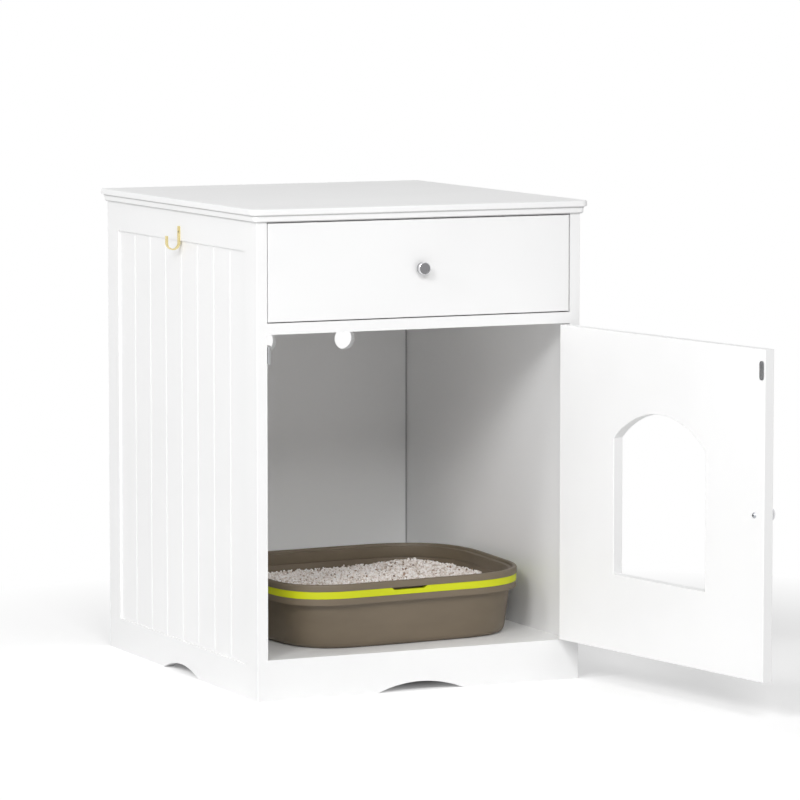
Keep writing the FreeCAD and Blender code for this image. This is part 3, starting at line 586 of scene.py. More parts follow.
def mesh_object(name: str, points: Array, faces: list, sharp_deg: float) -> Piece:
    """Makes an object from points in metres, with faces turned outwards.

    Args:
        name: The object's name.
        points: Vertices, one row each.
        faces: Vertex numbers per face.
        sharp_deg: Edges that bend more than this stay sharp.

    Returns:
        The new object.
    """
    mesh = bpy.data.meshes.new(name)
    mesh.from_pydata(points.tolist(), [], faces)
    work = bmesh.new()
    work.from_mesh(mesh)
    bmesh.ops.recalc_face_normals(work, faces=work.faces)
    work.to_mesh(mesh)
    work.free()
    mesh.polygons.foreach_set("use_smooth", np.ones(len(mesh.polygons), dtype=bool))
    mesh.set_sharp_from_angle(angle=math.radians(sharp_deg))
    return add_object(name, mesh)


def closed_grid(grid: Array, ends: Ends) -> tuple[Array, Array, Array]:
    """Joins a grid of profile rows by path columns into a closed surface.

    The columns always close round. Rows close round too for a ring; for poles, the first and
    the last row shrink to their mean point.

    Args:
        grid: Points by row, column and axis, in metres.
        ends: How the rows are closed.

    Returns:
        The points, the four-sided faces and the three-sided faces, one row each.
    """
    poles = np.zeros((0, 3))
    if ends is Ends.POLES:
        poles = np.stack([grid[0].mean(axis=0), grid[-1].mean(axis=0)])
        grid = grid[1:-1]
    rows, columns = grid.shape[:2]
    row = np.arange(rows if ends is Ends.RING else rows - 1)[:, None]
    column = np.arange(columns)[None, :]
    following = (column + 1) % columns
    above = (row + 1) % rows
    quads = np.stack([row * columns + column, row * columns + following,
                      above * columns + following, above * columns + column], axis=-1)
    fans = np.zeros((0, 3), dtype=int)
    if ends is Ends.POLES:
        first, last = rows * columns, rows * columns + 1
        near = np.stack([np.full(columns, first), following[0], column[0]], axis=-1)
        far = np.stack([np.full(columns, last), column[0], following[0]], axis=-1)
        far[:, 1:] += (rows - 1) * columns
        fans = np.concatenate([near, far])
    return np.concatenate([grid.reshape(-1, 3), poles]), quads.reshape(-1, 4), fans


def swept(name: str, grid: Array, ends: Ends, sharp_deg: float = 35.0) -> Piece:
    """Makes an object of a closed grid.

    Args:
        name: The object's name.
        grid: Points by row, column and axis, in metres.
        ends: How the rows are closed.
        sharp_deg: Edges that bend more than this stay sharp.

    Returns:
        The new object.
    """
    points, quads, fans = closed_grid(grid, ends)
    return mesh_object(name, points, quads.tolist() + fans.tolist(), sharp_deg)


def turned(profile: Array, base: Array, way: Array, count: int) -> Array:
    """Turns a profile round an axis.

    A point at radius r and height h lands on base + h way + r (cos a side + sin a up).

    Args:
        profile: Radius and height per row, in metres.
        base: Point on the axis at height zero.
        way: Unit direction of the axis, level.
        count: Steps round the axis.

    Returns:
        The grid of points.
    """
    side = np.cross(way, (0.0, 0.0, 1.0))
    up = np.array((0.0, 0.0, 1.0))
    angle = np.linspace(0.0, 2.0 * math.pi, count, endpoint=False)[None, :, None]
    radius, height = profile[:, 0, None, None], profile[:, 1, None, None]
    return base + height * way + radius * (np.cos(angle) * side + np.sin(angle) * up)


def store(piece: Piece, name: str, values: Array) -> None:
    """Stores one value per vertex, which a finish reads.

    Args:
        piece: The piece.
        name: The name that the finish knows the values by.
        values: One value per vertex.
    """
    layer = piece.data.attributes.new(name, "FLOAT", "POINT")
    layer.data.foreach_set("value", values.astype(np.float32))


def place(piece: Piece, body: Body, finish: Finish, slot: str, *replaced: str) -> None:
    """Dresses a new piece, sets it on its body and hides what it stands for.

    Args:
        piece: The new piece.
        body: The body that it rides on.
        finish: Its finish.
        slot: The record's material slot; not used.
        *replaced: CAD nodes that it replaces.
    """
    piece.data.materials.append(finish_of(finish))
    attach(piece, body.value)
    if replaced:
        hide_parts(*replaced)
    LOG.info("piece %s on %s, %d faces", piece.name, body.value, len(piece.data.polygons))


def door_turn() -> tuple[Array, float]:
    """Gives the hinge's plan point in metres, and how far the door stands open in radians."""
    hinge = next(joint for joint in frame["joints"] if joint["name"] == "door_hinge")
    return np.array(hinge["pos_m"]), -math.radians(hinge["range_deg"][0])


def swing(points: Array, about: Array | None = None) -> Array:
    """Turns points of the shut door to the open door, round the hinge.

    x' = hx + (x-hx) cos a - (y-hy) sin a, y' = hy + (x-hx) sin a + (y-hy) cos a.

    Args:
        points: Points in metres, one row each.
        about: Point to turn about, or the hinge if none is given.

    Returns:
        The turned points.
    """
    pivot, angle = door_turn()
    pivot = pivot if about is None else about
    level = points - pivot
    x = level[:, 0] * math.cos(angle) - level[:, 1] * math.sin(angle)
    y = level[:, 0] * math.sin(angle) + level[:, 1] * math.cos(angle)
    return np.stack([x, y, level[:, 2]], axis=-1) + pivot


@dataclass
class Knob:
    """A turned nickel knob: foot, waist, and a drum head with a low dome."""

    foot_r: float = 5.0
    neck_r: float = 4.2
    neck_l: float = 5.0
    head_r: float = 8.5
    head_l: float = 8.6
    dome: float = 0.7
    edge_r: float = 0.9
    edge_seam: float = 0.01
    samples: int = 14
    steps: int = 96
    sharp_deg: float = 50.0

    def profile(self) -> Array:
        """Gives radius and height from the foot to the crown, in metres.

        The waist is a cosine dip between two radii, the head's edges are quarter circles, and
        the face is a parabola: h = top + dome (1 - (r / half)^2).

        Returns:
            Radius and height, one row per point.
        """
        top = self.neck_l + self.head_l
        t = np.linspace(0.0, 1.0, self.samples)
        dip = self.foot_r - self.neck_r
        waist_r = self.foot_r - dip * (1 - np.cos(2 * math.pi * t)) / 2
        waist = np.stack([waist_r, t * self.neck_l], axis=-1)
        quarter = t * math.pi / 2
        inner = self.head_r - self.edge_r
        rise = np.stack([inner + self.edge_r * np.sin(quarter),
                         self.neck_l + self.edge_r * (1 - np.cos(quarter))], axis=-1)
        fall = np.stack([inner + self.edge_r * np.cos(quarter),
                         top - self.edge_r * (1 - np.sin(quarter))], axis=-1)
        r = inner * (1 - t[1:])
        face = np.stack([r, top + self.dome * (1 - (r / inner) ** 2)], axis=-1)
        centre = np.array([[0.0, 0.0]])
        return np.concatenate([centre, waist, rise, fall, face]) * MM

    def build(self, name: str, base: Array, way: Array) -> Piece:
        """Makes the knob, with painted shade: dark face and back, side brighter to the front.

        Args:
            name: The piece's name.
            base: Centre of its foot.
            way: Unit direction from foot to crown.

        Returns:
            The new object.
        """
        profile = self.profile()
        piece = swept(name, turned(profile, base, way, self.steps), Ends.POLES, self.sharp_deg)
        radius, height = profile[1:-1].T / MM
        # Painted shade and reflection: the side runs from dark at the back to bright at the front.
        ahead = (height - self.neck_l - self.edge_r) / (self.head_l - 2 * self.edge_r)
        on_side = radius > self.head_r - self.edge_r + self.edge_seam
        painted_shade = np.where(on_side, np.clip(1.0 - ahead, 0.0, 1.0), 1.0)
        shares = np.concatenate([np.repeat(painted_shade, self.steps), [1.0, 1.0]])
        store(piece, KNOB_NICKEL.share, shares)
        return piece


@dataclass
class RecessShadeInlay:
    """Painted shade in a screw's cross-shaped driver recess: a thin dark inlay in its head."""

    reach: float = 1.9
    half_arm: float = 0.42
    sunk: float = 0.3
    proud: float = 0.05
    sharp_deg: float = 20.0

    def outline(self) -> Array:
        """Works out the cross in its own plane by quarter turns of one arm.

        (x, y) goes to (x cos a - y sin a, x sin a + y cos a), for a from three quarters to none.

        Returns:
            The twelve corners in metres, one row each.
        """
        arm = np.array([[self.half_arm, self.half_arm], [self.reach, self.half_arm],
                        [self.reach, -self.half_arm]])
        quarter = np.arange(3, -1, -1) * math.pi / 2
        cos, sin = np.cos(quarter), np.sin(quarter)
        turn = np.stack([cos, -sin, sin, cos], axis=-1).reshape(4, 2, 2)
        return np.einsum("kij,nj->kni", turn, arm).reshape(-1, 2) * MM

    def grid(self, at: Array, way: Array) -> Array:
        """Stacks the outline from the sunk floor to the proud face, with a shrunk row at each end.

        Args:
            at: Centre of the screw head.
            way: Unit direction out of the head.

        Returns:
            The grid of points.
        """
        side = np.cross(way, (0.0, 0.0, 1.0))
        side = side / np.linalg.norm(side)
        up = np.cross(side, way)
        plane = self.outline()
        ring = plane[:, :1] * side + plane[:, 1:] * up
        floor, face = at - way * self.sunk * MM, at + way * self.proud * MM
        shrunk = np.zeros_like(ring)
        return np.stack([floor + shrunk, floor + ring, face + ring, face + shrunk])

    def build(self, name: str, spots: list[tuple[Array, Array]]) -> Piece:
        """Makes one piece of all the recesses on a body.

        Args:
            name: The piece's name.
            spots: Centre and outward way of each screw head.

        Returns:
            The joined piece.
        """
        crosses = [closed_grid(self.grid(at, way), Ends.POLES) for at, way in spots]
        points, quads, fans = (np.stack(arrays) for arrays in zip(*crosses))
        first = (np.arange(len(spots)) * points.shape[1])[:, None, None]
        faces = (quads + first).reshape(-1, 4).tolist() + (fans + first).reshape(-1, 3).tolist()
        return mesh_object(name, points.reshape(-1, 3), faces, self.sharp_deg)


@dataclass
class Cabinet:
    """The fixed boards, their fittings, the catch and the hook."""

    boards: tuple[str, ...] = ("side_panel_left", "side_panel_right", "bottom_panel",
                               "divider_panel", "plinth_board")
    zinc: tuple[str, ...] = ("cam_bolts", "back_screws", "catch_poles", "catch_screws",
                             "hinge_leaf_fixed_lower", "hinge_leaf_fixed_upper", "hinge_pin_lower",
                             "hinge_pin_upper", "hinge_screws_fixed", "runner_rail_fixed_left",
                             "runner_rail_fixed_right", "runner_screws_fixed")
    recess: RecessShadeInlay = field(default_factory=RecessShadeInlay)
    back_head_r: float = 4.0

    def dress(self) -> None:
        """Gives every fixed node its finish."""
        dress(MOULDING_PAINT_AND_SHADE, "top_panel")
        dress(BACK_PAINT_AND_SHADE, "back_panel")
        dress(PAINT, *self.boards)
        dress(ZINC, *self.zinc)
        dress(CAST_ZINC, "cam_locks")
        dress(BEECH, "plinth_dowels")
        dress(CATCH, "catch_housing")
        dress(FERRITE, "catch_magnet")
        dress(BRASS, "scoop_hook", "hook_screw")

    def head_spots(self) -> list[tuple[Array, Array]]:
        """Finds the screw heads that show: back, hook and catch.

        Returns:
            Centre and outward way of each head.
        """
        low, high = corners_of("back_screws")
        inset = self.back_head_r * MM
        back, left, right = np.array([[0.0, 1.0, 0.0], [-1.0, 0.0, 0.0], [1.0, 0.0, 0.0]])
        spots = [(np.array((x, high[1], z)), back) for x in (low[0] + inset, 0.0, high[0] - inset)
                 for z in (low[2] + inset, high[2] - inset)]
        low, high = corners_of("hook_screw")
        middle = (low + high) / 2
        spots.append((np.array((low[0], middle[1], middle[2])), left))
        low, high = corners_of("catch_screws")
        inset = (high[1] - low[1]) / 2
        spots += [(np.array((high[0], low[1] + inset, z)), right)
                  for z in (low[2] + inset, high[2] - inset)]
        return spots

    def build(self) -> None:
        """Makes the dark inlays of painted shade in the fixed screws' recesses."""
        piece = self.recess.build("recess_shade_cabinet", self.head_spots())
        place(piece, Body.CABINET, RECESS_SHADE, "steel")


@dataclass
class Door:
    """The open door with its knob, strike and hinge leaves."""

    knob: Knob = field(default_factory=Knob)
    recess: RecessShadeInlay = field(default_factory=RecessShadeInlay)
    front_y: float = -534.0
    board: float = 15.0
    knob_x: float = -203.5
    bolt_head: float = 2.4

    def dress(self) -> None:
        """Gives every node of the door its finish."""
        dress(PAINT, "door_panel")
        dress(ZINC, "hinge_leaf_door_lower", "hinge_leaf_door_upper", "hinge_screws_door",
              "door_knob_bolt")
        dress(NICKEL, "strike_plate", "strike_screws")

    def build(self) -> None:
        """Makes the knob outside, and the painted shade of its bolt's driver recess inside."""
        low, high = corners_of("door_knob")
        height = (low[2] + high[2]) / 2
        shut = np.array([[self.knob_x * MM, self.front_y * MM, height]])
        outward = swing(np.array([[0.0, -1.0, 0.0]]), np.zeros(3))[0]
        knob = self.knob.build("knob_of_door", swing(shut)[0], outward)
        place(knob, Body.DOOR, KNOB_NICKEL, "nickel", "door_knob")
        inner = (self.front_y + self.board) * MM
        shut = np.array([[self.knob_x * MM, inner + self.bolt_head * MM, height]])
        spots = [(at, -outward) for at in swing(shut)]
        place(self.recess.build("recess_shade_door", spots), Body.DOOR, RECESS_SHADE, "steel")


@dataclass
class Drawer:
    """The drawer box, its knob and its runners."""

    knob: Knob = field(default_factory=Knob)

    def dress(self) -> None:
        """Gives every node of the drawer and the ball rows its finish."""
        dress(PAINT, "drawer_front", "drawer_side_left", "drawer_side_right", "drawer_back",
              "drawer_floor")
        dress(ZINC, "drawer_knob_bolt", "drawer_cam_bolts", "drawer_back_screws",
              "runner_rail_drawer_left", "runner_rail_drawer_right", "runner_screws_drawer",
              "ball_cages_left", "ball_cages_right")
        dress(CAST_ZINC, "drawer_cams")
        dress(NICKEL, "runner_balls")

    def build(self) -> None:
        """Makes the drawer's knob where the frame has it."""
        low, high = corners_of("drawer_knob")
        base = np.array(((low[0] + high[0]) / 2, high[1], (low[2] + high[2]) / 2))
        knob = self.knob.build("knob_of_drawer", base, np.array((0.0, -1.0, 0.0)))
        place(knob, Body.DRAWER, KNOB_NICKEL, "nickel", "drawer_knob")


@dataclass
class LitterPan:
    """The pan, its lime band and its rim, each a profile carried round a four-sided plan.

    The plan stands askew on the deck, and its sides run into long soft corners. The corners and
    their bends are in millimetres in the cabinet's plan, front right first.
    """

    corners: tuple[Pair, ...] = (
        (201.0, -484.0), (225.0, -136.0), (-184.0, -159.0), (-171.0, -513.0))
    bends: tuple[float, ...] = (106.0, 144.0, 77.0, 89.0)
    wall: float = 2.2
    wall_in: float = 9.0
    foot_in: float = 18.0
    floor_in: float = 42.0
    foot_cut: float = 14.0
    cut_at: Pair = (-165.0, -495.0)
    cut_reach: float = 75.0
    foot_r: float = 10.0
    skirt_in: float = 1.0
    skirt_h: float = 9.0
    band_in: float = 0.6
    notch_half: float = 27.5
    notch_h: float = 3.4
    notch_slope: float = 4.0
    rim_step_h: float = 3.8
    rim_step_in: float = 5.6
    rim_lean: float = 0.8
    rim_fall: float = 0.6
    rim_gap: float = 0.3
    rim_play: float = 0.1
    flat_bend: float = 0.1
    fold_bend: float = 0.6
    skirt_bend: float = 0.7
    lip_bend: float = 0.8
    band_bends: Pair = (0.6, 0.5)
    crown_bends: Pair = (2.4, 2.0)
    rim_bends: tuple[float, ...] = (0.5, 0.6, 1.2, 0.4)
    corner_steps: int = 60
    bend_steps: int = 7
    band_steps: int = 6
    columns: int = 640

    def __post_init__(self) -> None:
        """Reads the heights of the pan's pieces from the frame, in millimetres above its foot."""
        self.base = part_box("litter_pan")[0][2] / MM
        self.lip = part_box("litter_pan")[1][2] / MM - self.base
        self.band_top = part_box("pan_band")[1][2] / MM - self.base
        self.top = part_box("pan_rim")[1][2] / MM - self.base

    def path(self) -> tuple[Array, Array]:
        """Walks the plan at even steps.

        The corners are softened, the outline's length is added up, and points are read off at
        even shares of it. The outward normal is the chord between a point's neighbours, turned
        by a quarter: n = (ty, -tx).

        Returns:
            Points and outward normals, one row each, in millimetres.
        """
        outline = soften(np.array(self.corners), np.array(self.bends), self.corner_steps)
        closed = np.concatenate([outline, outline[:1]])
        lengths = np.linalg.norm(np.diff(closed, axis=0), axis=1)
        walked = np.concatenate([[0.0], np.cumsum(lengths)])
        s = np.linspace(0.0, walked[-1], self.columns, endpoint=False)
        points = np.stack([np.interp(s, walked, closed[:, axis]) for axis in (0, 1)], axis=-1)
        chord = np.roll(points, -1, axis=0) - np.roll(points, 1, axis=0)
        chord = chord / np.linalg.norm(chord, axis=1)[:, None]
        return points, np.stack([chord[:, 1], -chord[:, 0]], axis=-1)

    def set_down(self, above_foot: Array) -> Array:
        """Sets points in millimetres above the pan's foot on the deck, and gives metres."""
        return (above_foot + (0.0, 0.0, self.base)) * MM

    def carried(self, profile: Array) -> Array:
        """Carries a profile of inset and height round the path.

        P(u, v) = path(v) - inset(u) normal(v), at height z(u).

        Args:
            profile: Inset and height per row, in millimetres.

        Returns:
            The grid of points, in millimetres above the pan's foot.
        """
        points, normals = self.path()
        plan = points[None] - profile[:, 0, None, None] * normals[None]
        height = np.broadcast_to(profile[:, 1, None, None], plan.shape[:2] + (1,))
        return np.concatenate([plan, height], axis=-1)

    def cut_back(self, points: Array) -> Array:
        """Says how much further in the foot stands near the front left corner.

        cut = foot_cut exp(-(d / cut_reach)^2), where d is the distance from the corner.

        Args:
            points: Points of the plan, one row each, in millimetres.

        Returns:
            The cut at each point, in millimetres.
        """
        off = np.linalg.norm(points - np.array(self.cut_at), axis=-1)
        return self.foot_cut * np.exp(-(off / self.cut_reach) ** 2)

    def shell_profile(self) -> Array:
        """Draws the pan's section from the middle underneath, over the lip, to the floor inside.

        Returns:
            Inset and height per row, in millimetres.
        """
        slope = (self.foot_in - self.wall_in) / self.lip
        under, skirt = self.lip - self.wall, self.lip - self.skirt_h
        inner_foot = self.foot_in + self.wall - slope * self.wall
        return section([
            (self.floor_in, 0.0, self.flat_bend), (self.foot_in, 0.0, self.foot_r),
            (self.wall_in + slope * self.wall, under, self.fold_bend),
            (self.skirt_in + self.wall, under, self.fold_bend),
            (self.skirt_in + self.wall, skirt, self.skirt_bend),
            (self.skirt_in, skirt, self.skirt_bend), (self.skirt_in, self.lip, self.lip_bend),
            (self.wall_in + self.wall, self.lip, self.lip_bend),
            (inner_foot, self.wall, self.foot_r - self.wall),
            (self.floor_in, self.wall, self.flat_bend)], self.bend_steps)

    def shell(self) -> Piece:
        """Makes the pan's shell, closed underneath and inside by flat fans.

        The cut back grows from nought under the skirt to its full size at the foot.

        Returns:
            The new object.
        """
        grid = self.carried(self.shell_profile())
        points, normals = self.path()
        low = np.clip(1.0 - grid[..., 2:] / (self.lip - self.skirt_h), 0.0, 1.0)
        grid[..., :2] -= low * self.cut_back(points)[:, None] * normals
        grid = self.set_down(grid)
        middle = grid.mean(axis=1, keepdims=True)
        closed = np.concatenate([np.broadcast_to(middle[:1], grid[:1].shape), grid,
                                 np.broadcast_to(middle[-1:], grid[-1:].shape)])
        return swept("pan_shell", closed, Ends.POLES)

    def band(self) -> Piece:
        """Makes the lime band, with the latch notch cut down into its top at the front.

        There its height is the lesser of its own and top - notch_h r, where r runs from 0 to 1
        along notch_slope at each end of the notch.

        Returns:
            The new object.
        """
        low, high, inner = self.lip, self.band_top, self.wall_in
        under, over = self.band_bends
        grid = self.carried(section([(self.band_in, low, under), (self.band_in, high, over),
                                     (inner, high, over), (inner, low, under)], self.band_steps))
        reach = np.clip((self.notch_half - np.abs(grid[..., 0])) / self.notch_slope, 0.0, 1.0)
        front = grid[..., 1] < np.mean(self.corners, axis=0)[1]
        cut = high - self.notch_h * reach * front
        grid[..., 2] = np.minimum(grid[..., 2], cut)
        return swept("lime_band", self.set_down(grid), Ends.RING)

    def rim(self) -> Piece:
        """Makes the rim: a crowned edge, a ledge inside it, and a wall that drops past the band.

        Returns:
            The new object.
        """
        low, high = self.band_top, self.top
        inner, outer = self.wall_in + self.wall, self.wall_in + self.rim_play
        ledge, seat = high - self.rim_step_h, self.lip + self.rim_gap
        outside, inside = self.crown_bends
        under, fold, drop, tuck = self.rim_bends
        profile = section([
            (0.0, low, under), (0.0, high, outside), (self.rim_step_in, high, inside),
            (self.rim_step_in + self.rim_lean, ledge, fold),
            (inner, ledge - self.rim_fall, drop), (inner, seat, tuck), (outer, seat, tuck),
            (outer, low, tuck)], self.bend_steps)
        return swept("rim_frame", self.set_down(self.carried(profile)), Ends.RING)

    def build(self) -> None:
        """Makes the three pieces and sets them on the pan's body."""
        place(self.shell(), Body.PAN, TAUPE, "pan_plastic", "litter_pan")
        place(self.band(), Body.PAN, LIME, "band_plastic", "pan_band")
        place(self.rim(), Body.PAN, RIM_TAUPE_SHADED, "rim_plastic", "pan_rim")


@dataclass
class Litter:
    """The heaped litter: a bed with a crest, under a layer of loose granules."""

    pan: LitterPan
    inset: float = 13.6
    foot_gap: float = 9.0
    level: float = 61.0
    crest: float = 9.0
    crest_at: Pair = (7.0, -316.0)
    crest_reach: Pair = (175.0, 85.0)
    heap: float = 11.5
    heap_at: Pair = (132.0, -221.0)
    heap_reach: Pair = (48.0, 50.0)
    lump_mm: float = 42.0
    lump: float = 1.1
    lump_skew: Pair = (0.4, 0.3)
    lump_ratio: float = 1.3
    lump_phase: float = 1.0
    grain_r: Pair = (1.25, 2.15)
    grain_drawn: Pair = (0.65, 1.25)
    grain_dents: Pair = (0.85, 1.12)
    grain_lift: Pair = (-0.8, 2.3)
    grains: int = 9800
    tries_per_grain: int = 2
    edge_room: float = 1.0
    bed_room: float = 1.0
    bed_shade_tone: float = 0.14
    # The bed's darker tone is painted shade in the gaps between granules.
    bed_sharp_deg: float = 60.0
    rings: int = 40
    ring_power: float = 0.8

    def height(self, x: Array, y: Array) -> Array:
        """Gives the heap's surface over the cabinet's plan.

        h = level + a bell exp(-((x-cx)/rx)^2 - ((y-cy)/ry)^2) for the wide crest and one for
        the heap at the back, + lumps, which are two crossed sines.

        Args:
            x: Places across, in millimetres.
            y: Places from front to back, in millimetres.

        Returns:
            Heights in millimetres above the pan's foot.
        """
        hill, pile = (
            np.exp(-((x - at[0]) / reach[0]) ** 2 - ((y - at[1]) / reach[1]) ** 2)
            for at, reach in ((self.crest_at, self.crest_reach), (self.heap_at, self.heap_reach)))
        wave = 2 * math.pi / self.lump_mm
        cross = wave * self.lump_ratio * (y - self.lump_skew[1] * x) + self.lump_phase
        lumps = np.sin(wave * (x + self.lump_skew[0] * y)) * np.sin(cross)
        return self.level + self.crest * hill + self.heap * pile + self.lump * lumps

    def bed(self) -> Piece:
        """Makes the closed bed: a flat foot, a wall that leans out, and rings that close on top.

        Ring i of n stands at middle + (edge - middle) (1 - i/n)^ring_power, at the heap's height.

        Returns:
            The new object.
        """
        points, normals = self.pan.path()
        edge = points - self.inset * normals
        foot_in = self.pan.foot_in + self.foot_gap + self.pan.cut_back(points)
        foot = points - foot_in[:, None] * normals
        shares = np.linspace(1.0, 0.0, self.rings) ** self.ring_power
        middle = edge.mean(axis=0)
        plan = middle + (edge - middle)[None] * shares[:, None, None]
        top = np.concatenate([plan, self.height(plan[..., 0], plan[..., 1])[..., None]], axis=-1)
        low = self.pan.wall + self.bed_room
        under = np.concatenate([foot, np.full((len(foot), 1), low)], axis=-1)
        closed = np.broadcast_to(np.append(middle, low), under.shape)
        grid = np.concatenate([closed[None], under[None], top])
        piece = swept("litter_bed", self.pan.set_down(grid), Ends.POLES, self.bed_sharp_deg)
        # Painted shade: the bed shows a darker tone between the granules.
        store(piece, GRAINS.tone, np.full(len(piece.data.vertices), self.bed_shade_tone))
        return piece

    def grain_form(self) -> tuple[Array, Array]:
        """Makes the twenty-sided form that every grain starts from.

        Returns:
            Its points and the three corners of each side, one row each.
        """
        work = bmesh.new()
        bmesh.ops.create_icosphere(work, subdivisions=1, radius=1.0)
        form = bpy.data.meshes.new("grain_form")
        work.to_mesh(form)
        work.free()
        points = np.empty((len(form.vertices), 3), dtype=np.float32)
        form.vertices.foreach_get("co", points.ravel())
        sides = np.empty((len(form.polygons), 3), dtype=np.int32)
        form.loops.foreach_get("vertex_index", sides.ravel())
        bpy.data.meshes.remove(form)
        return points, sides

    def granules(self) -> Piece:
        """Scatters granules over the bed, as far as its edge lies from the middle each way.

        Each is a small twenty-sided form, drawn out by its own three factors and turned by a
        random angle b about a random axis k: v' = v cos b + (k x v) sin b + k (k.v)(1 - cos b).

        Returns:
            The new object.
        """
        rng = np.random.default_rng(SEED)
        tries = self.grains * self.tries_per_grain
        points, normals = self.pan.path()
        edge = points - self.inset * normals
        middle = edge.mean(axis=0)
        plan = rng.uniform(edge.min(axis=0), edge.max(axis=0), (tries, 2))
        way, aim = (np.arctan2(*(spots - middle).T[::-1]) for spots in (edge, plan))
        order = np.argsort(way)
        reach = np.linalg.norm(edge - middle, axis=1)
        room = np.interp(aim, way[order], reach[order], period=2 * math.pi)
        inside = np.linalg.norm(plan - middle, axis=1) < room - self.edge_room
        plan = plan[inside][:self.grains]
        count = len(plan)
        unit, sides = self.grain_form()
        size = rng.uniform(*self.grain_r, (count, 1, 1))
        form = unit[None] * size * rng.uniform(*self.grain_drawn, (count, 1, 3))
        form = form * rng.uniform(*self.grain_dents, (count, len(unit), 1))
        axis = rng.normal(size=(count, 1, 3))
        axis = axis / np.linalg.norm(axis, axis=-1, keepdims=True)
        angle = rng.uniform(0.0, 2 * math.pi, (count, 1, 1))
        dot = (axis * form).sum(axis=-1, keepdims=True)
        cos, sin = np.cos(angle), np.sin(angle)
        form = form * cos + np.cross(axis, form) * sin + axis * dot * (1 - cos)
        heights = self.height(*plan.T) + rng.uniform(*self.grain_lift, count)
        centre = np.concatenate([plan, heights[:, None]], axis=-1)
        points = self.pan.set_down(centre[:, None] + form).reshape(-1, 3)
        faces = (sides[None] + (np.arange(count) * len(unit))[:, None, None]).reshape(-1, 3)
        mesh = bpy.data.meshes.new("litter_granules")
        mesh.from_pydata(points.tolist(), [], faces.tolist())
        piece = add_object("litter_granules", mesh)
        store(piece, GRAINS.tone, np.repeat(rng.uniform(0.0, 1.0, count), len(unit)))
        return piece

    def build(self) -> None:
        """Makes the bed and the granules."""
        place(self.bed(), Body.PAN, GRAINS, "litter", "litter_fill")
        place(self.granules(), Body.PAN, GRAINS, "litter")


@dataclass(frozen=True)
class Lamp:
    """One soft square lamp: where it is, its watts, where it looks and its side in metres."""

    name: str
    at: Triple
    watts: float
    to: Triple = (0.0, -0.3, 0.35)
    side: float = 1.1

    def build(self) -> None:
        """Hangs the lamp."""
        data = bpy.data.lights.new(self.name, "AREA")
        data.shape = "SQUARE"
        data.size = self.side
        data.energy = self.watts
        lamp = add_object(self.name, data)
        lamp.location = self.at
        way = Vector(self.to) - Vector(self.at)
        lamp.rotation_euler = way.to_track_quat("-Z", "Y").to_euler()


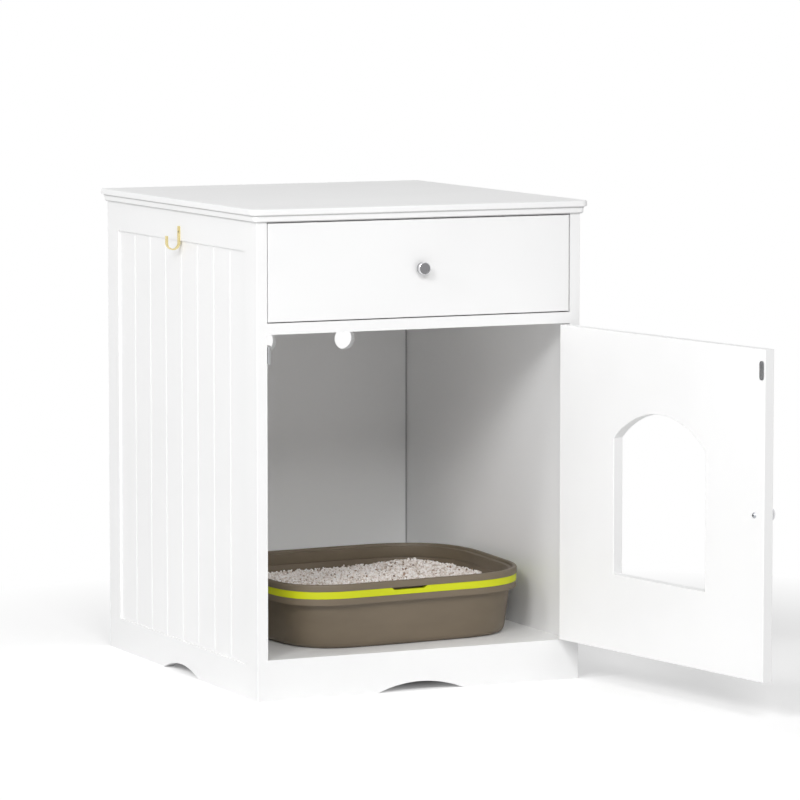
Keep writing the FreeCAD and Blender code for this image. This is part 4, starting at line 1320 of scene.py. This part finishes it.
@dataclass
class Studio:
    """White floor and backdrop, soft lamps, and the long lens of the photograph."""

    eye: Triple = (-2.6444, -6.1652, 1.0373)
    yaw_deg: float = 24.897
    pitch_deg: float = 5.883
    lens_mm: float = 208.7
    sensor_mm: float = 36.0
    floor_side: float = 60.0
    floor_colour: str = "F4F4F4"
    floor_glow: float = 0.29
    fade_centre: Triple = (0.1, -0.5, 0.0)
    fade_from: float = 0.62
    fade_to: float = 1.15
    plan_middle: Triple = (0.0, -0.264, 0.0)
    plan_half: Pair = (0.238, 0.268)
    plan_soft: float = 0.07
    fill: float = 0.37
    lamps: tuple[Lamp, ...] = (
        Lamp("lamp_front", (-1.14, -4.56, 2.70), watts=64.0),
        Lamp("lamp_front_left", (-3.12, -3.42, 2.70), watts=64.0),
        Lamp("lamp_left", (-4.35, -1.07, 2.70), watts=50.0),
    )

    def seen_factor(self, tree: Tree) -> Socket:
        """Gives one for rays from the camera, or by mirror or glass from it, and else nought.

        Args:
            tree: The node tree that it goes into.

        Returns:
            The factor's output.
        """
        rays = tree.add("ShaderNodeLightPath").outputs
        either = tree.calc("MAXIMUM", rays["Is Camera Ray"], rays["Is Glossy Ray"])
        return tree.calc("MAXIMUM", either, rays["Is Transmission Ray"])

    def open_factor(self, tree: Tree) -> Socket:
        """Gives nought on the floor under the cabinet, and one from its edge outwards.

        Args:
            tree: The node tree that it goes into.

        Returns:
            The factor's output.
        """
        off = tree.add("ShaderNodeVectorMath", {"operation": "SUBTRACT", 1: self.plan_middle},
                       {0: tree.spot()})
        size = tree.add("ShaderNodeVectorMath", {"operation": "ABSOLUTE"}, {0: off.outputs[0]})
        axes = tree.add("ShaderNodeSeparateXYZ", links={0: size.outputs[0]}).outputs
        across, along = (tree.vary(axes[axis], span=(half - self.plan_soft, half))
                         for axis, half in zip("XY", self.plan_half))
        return tree.calc("MAXIMUM", across, along)

    def world(self) -> None:
        """Lights from all round at the fill level, and shows as plain white."""
        world = bpy.data.worlds.new("white_backdrop")
        bpy.context.scene.world = world
        world.use_nodes = True
        world.node_tree.nodes.clear()
        tree = Tree(world.node_tree)
        glow = tree.add("ShaderNodeBackground", {"Color": linear("FFFFFF")},
                        {"Strength": tree.vary(self.seen_factor(tree), self.fill)})
        tree.add("ShaderNodeOutputWorld", links={"Surface": glow.outputs[0]})

    def floor(self) -> None:
        """Lays a white floor that keeps soft shadows.

        To the eye it glows by floor_glow on top of its lit paint, but not under the cabinet. From
        fade_from to fade_to metres off the object it runs over to plain white, so that no far
        edge shows.
        """
        mesh = bpy.data.meshes.new("studio_floor")
        half = self.floor_side / 2
        corners = [(-half, -half, 0.0), (half, -half, 0.0), (half, half, 0.0), (-half, half, 0.0)]
        mesh.from_pydata(corners, [], [range(4)])
        material, tree = start_tree("white_sweep")
        matt = tree.add("ShaderNodeBsdfDiffuse", {"Color": linear(self.floor_colour)})
        seen = self.seen_factor(tree)
        glow = tree.calc("MULTIPLY", tree.calc("MULTIPLY", seen, self.floor_glow),
                         self.open_factor(tree))
        lift = tree.add("ShaderNodeEmission", links={"Strength": glow})
        near = tree.add("ShaderNodeAddShader", links={0: matt.outputs[0], 1: lift.outputs[0]})
        away = tree.add("ShaderNodeVectorMath", {"operation": "DISTANCE", 1: self.fade_centre},
                        {0: tree.spot()})
        fade = tree.vary(away.outputs["Value"], span=(self.fade_from, self.fade_to))
        white = tree.add("ShaderNodeEmission", {"Strength": 1.0})
        mixed = tree.add("ShaderNodeMixShader", links={
            0: tree.calc("MULTIPLY", seen, fade), 1: near.outputs[0], 2: white.outputs[0]})
        tree.add("ShaderNodeOutputMaterial", links={"Surface": mixed.outputs[0]})
        mesh.materials.append(material)
        add_object("studio_floor", mesh)

    def camera(self) -> None:
        """Stands the camera where the photograph was taken."""
        data = bpy.data.cameras.new("photo_camera")
        data.lens = self.lens_mm
        data.sensor_width = self.sensor_mm
        camera = add_object("photo_camera", data)
        camera.location = self.eye
        camera.rotation_euler = (math.radians(90.0 - self.pitch_deg), 0.0,
                                 -math.radians(self.yaw_deg))
        bpy.context.scene.camera = camera

    def build(self) -> None:
        """Sets up the backdrop, the floor, the lamps and the camera."""
        self.world()
        self.floor()
        for lamp in self.lamps:
            lamp.build()
        self.camera()
        bpy.context.scene.view_settings.view_transform = "Standard"
        LOG.info("studio with %d lamps", len(self.lamps))


def main() -> None:
    """Builds the studio and every sub-assembly, in order."""
    logging.basicConfig(level=logging.INFO, format="%(name)s: %(message)s")
    Studio().build()
    pan = LitterPan()
    for assembly in (Cabinet(), Door(), Drawer()):
        assembly.dress()
        assembly.build()
    pan.build()
    Litter(pan).build()


if __name__ == "__main__":
    main()
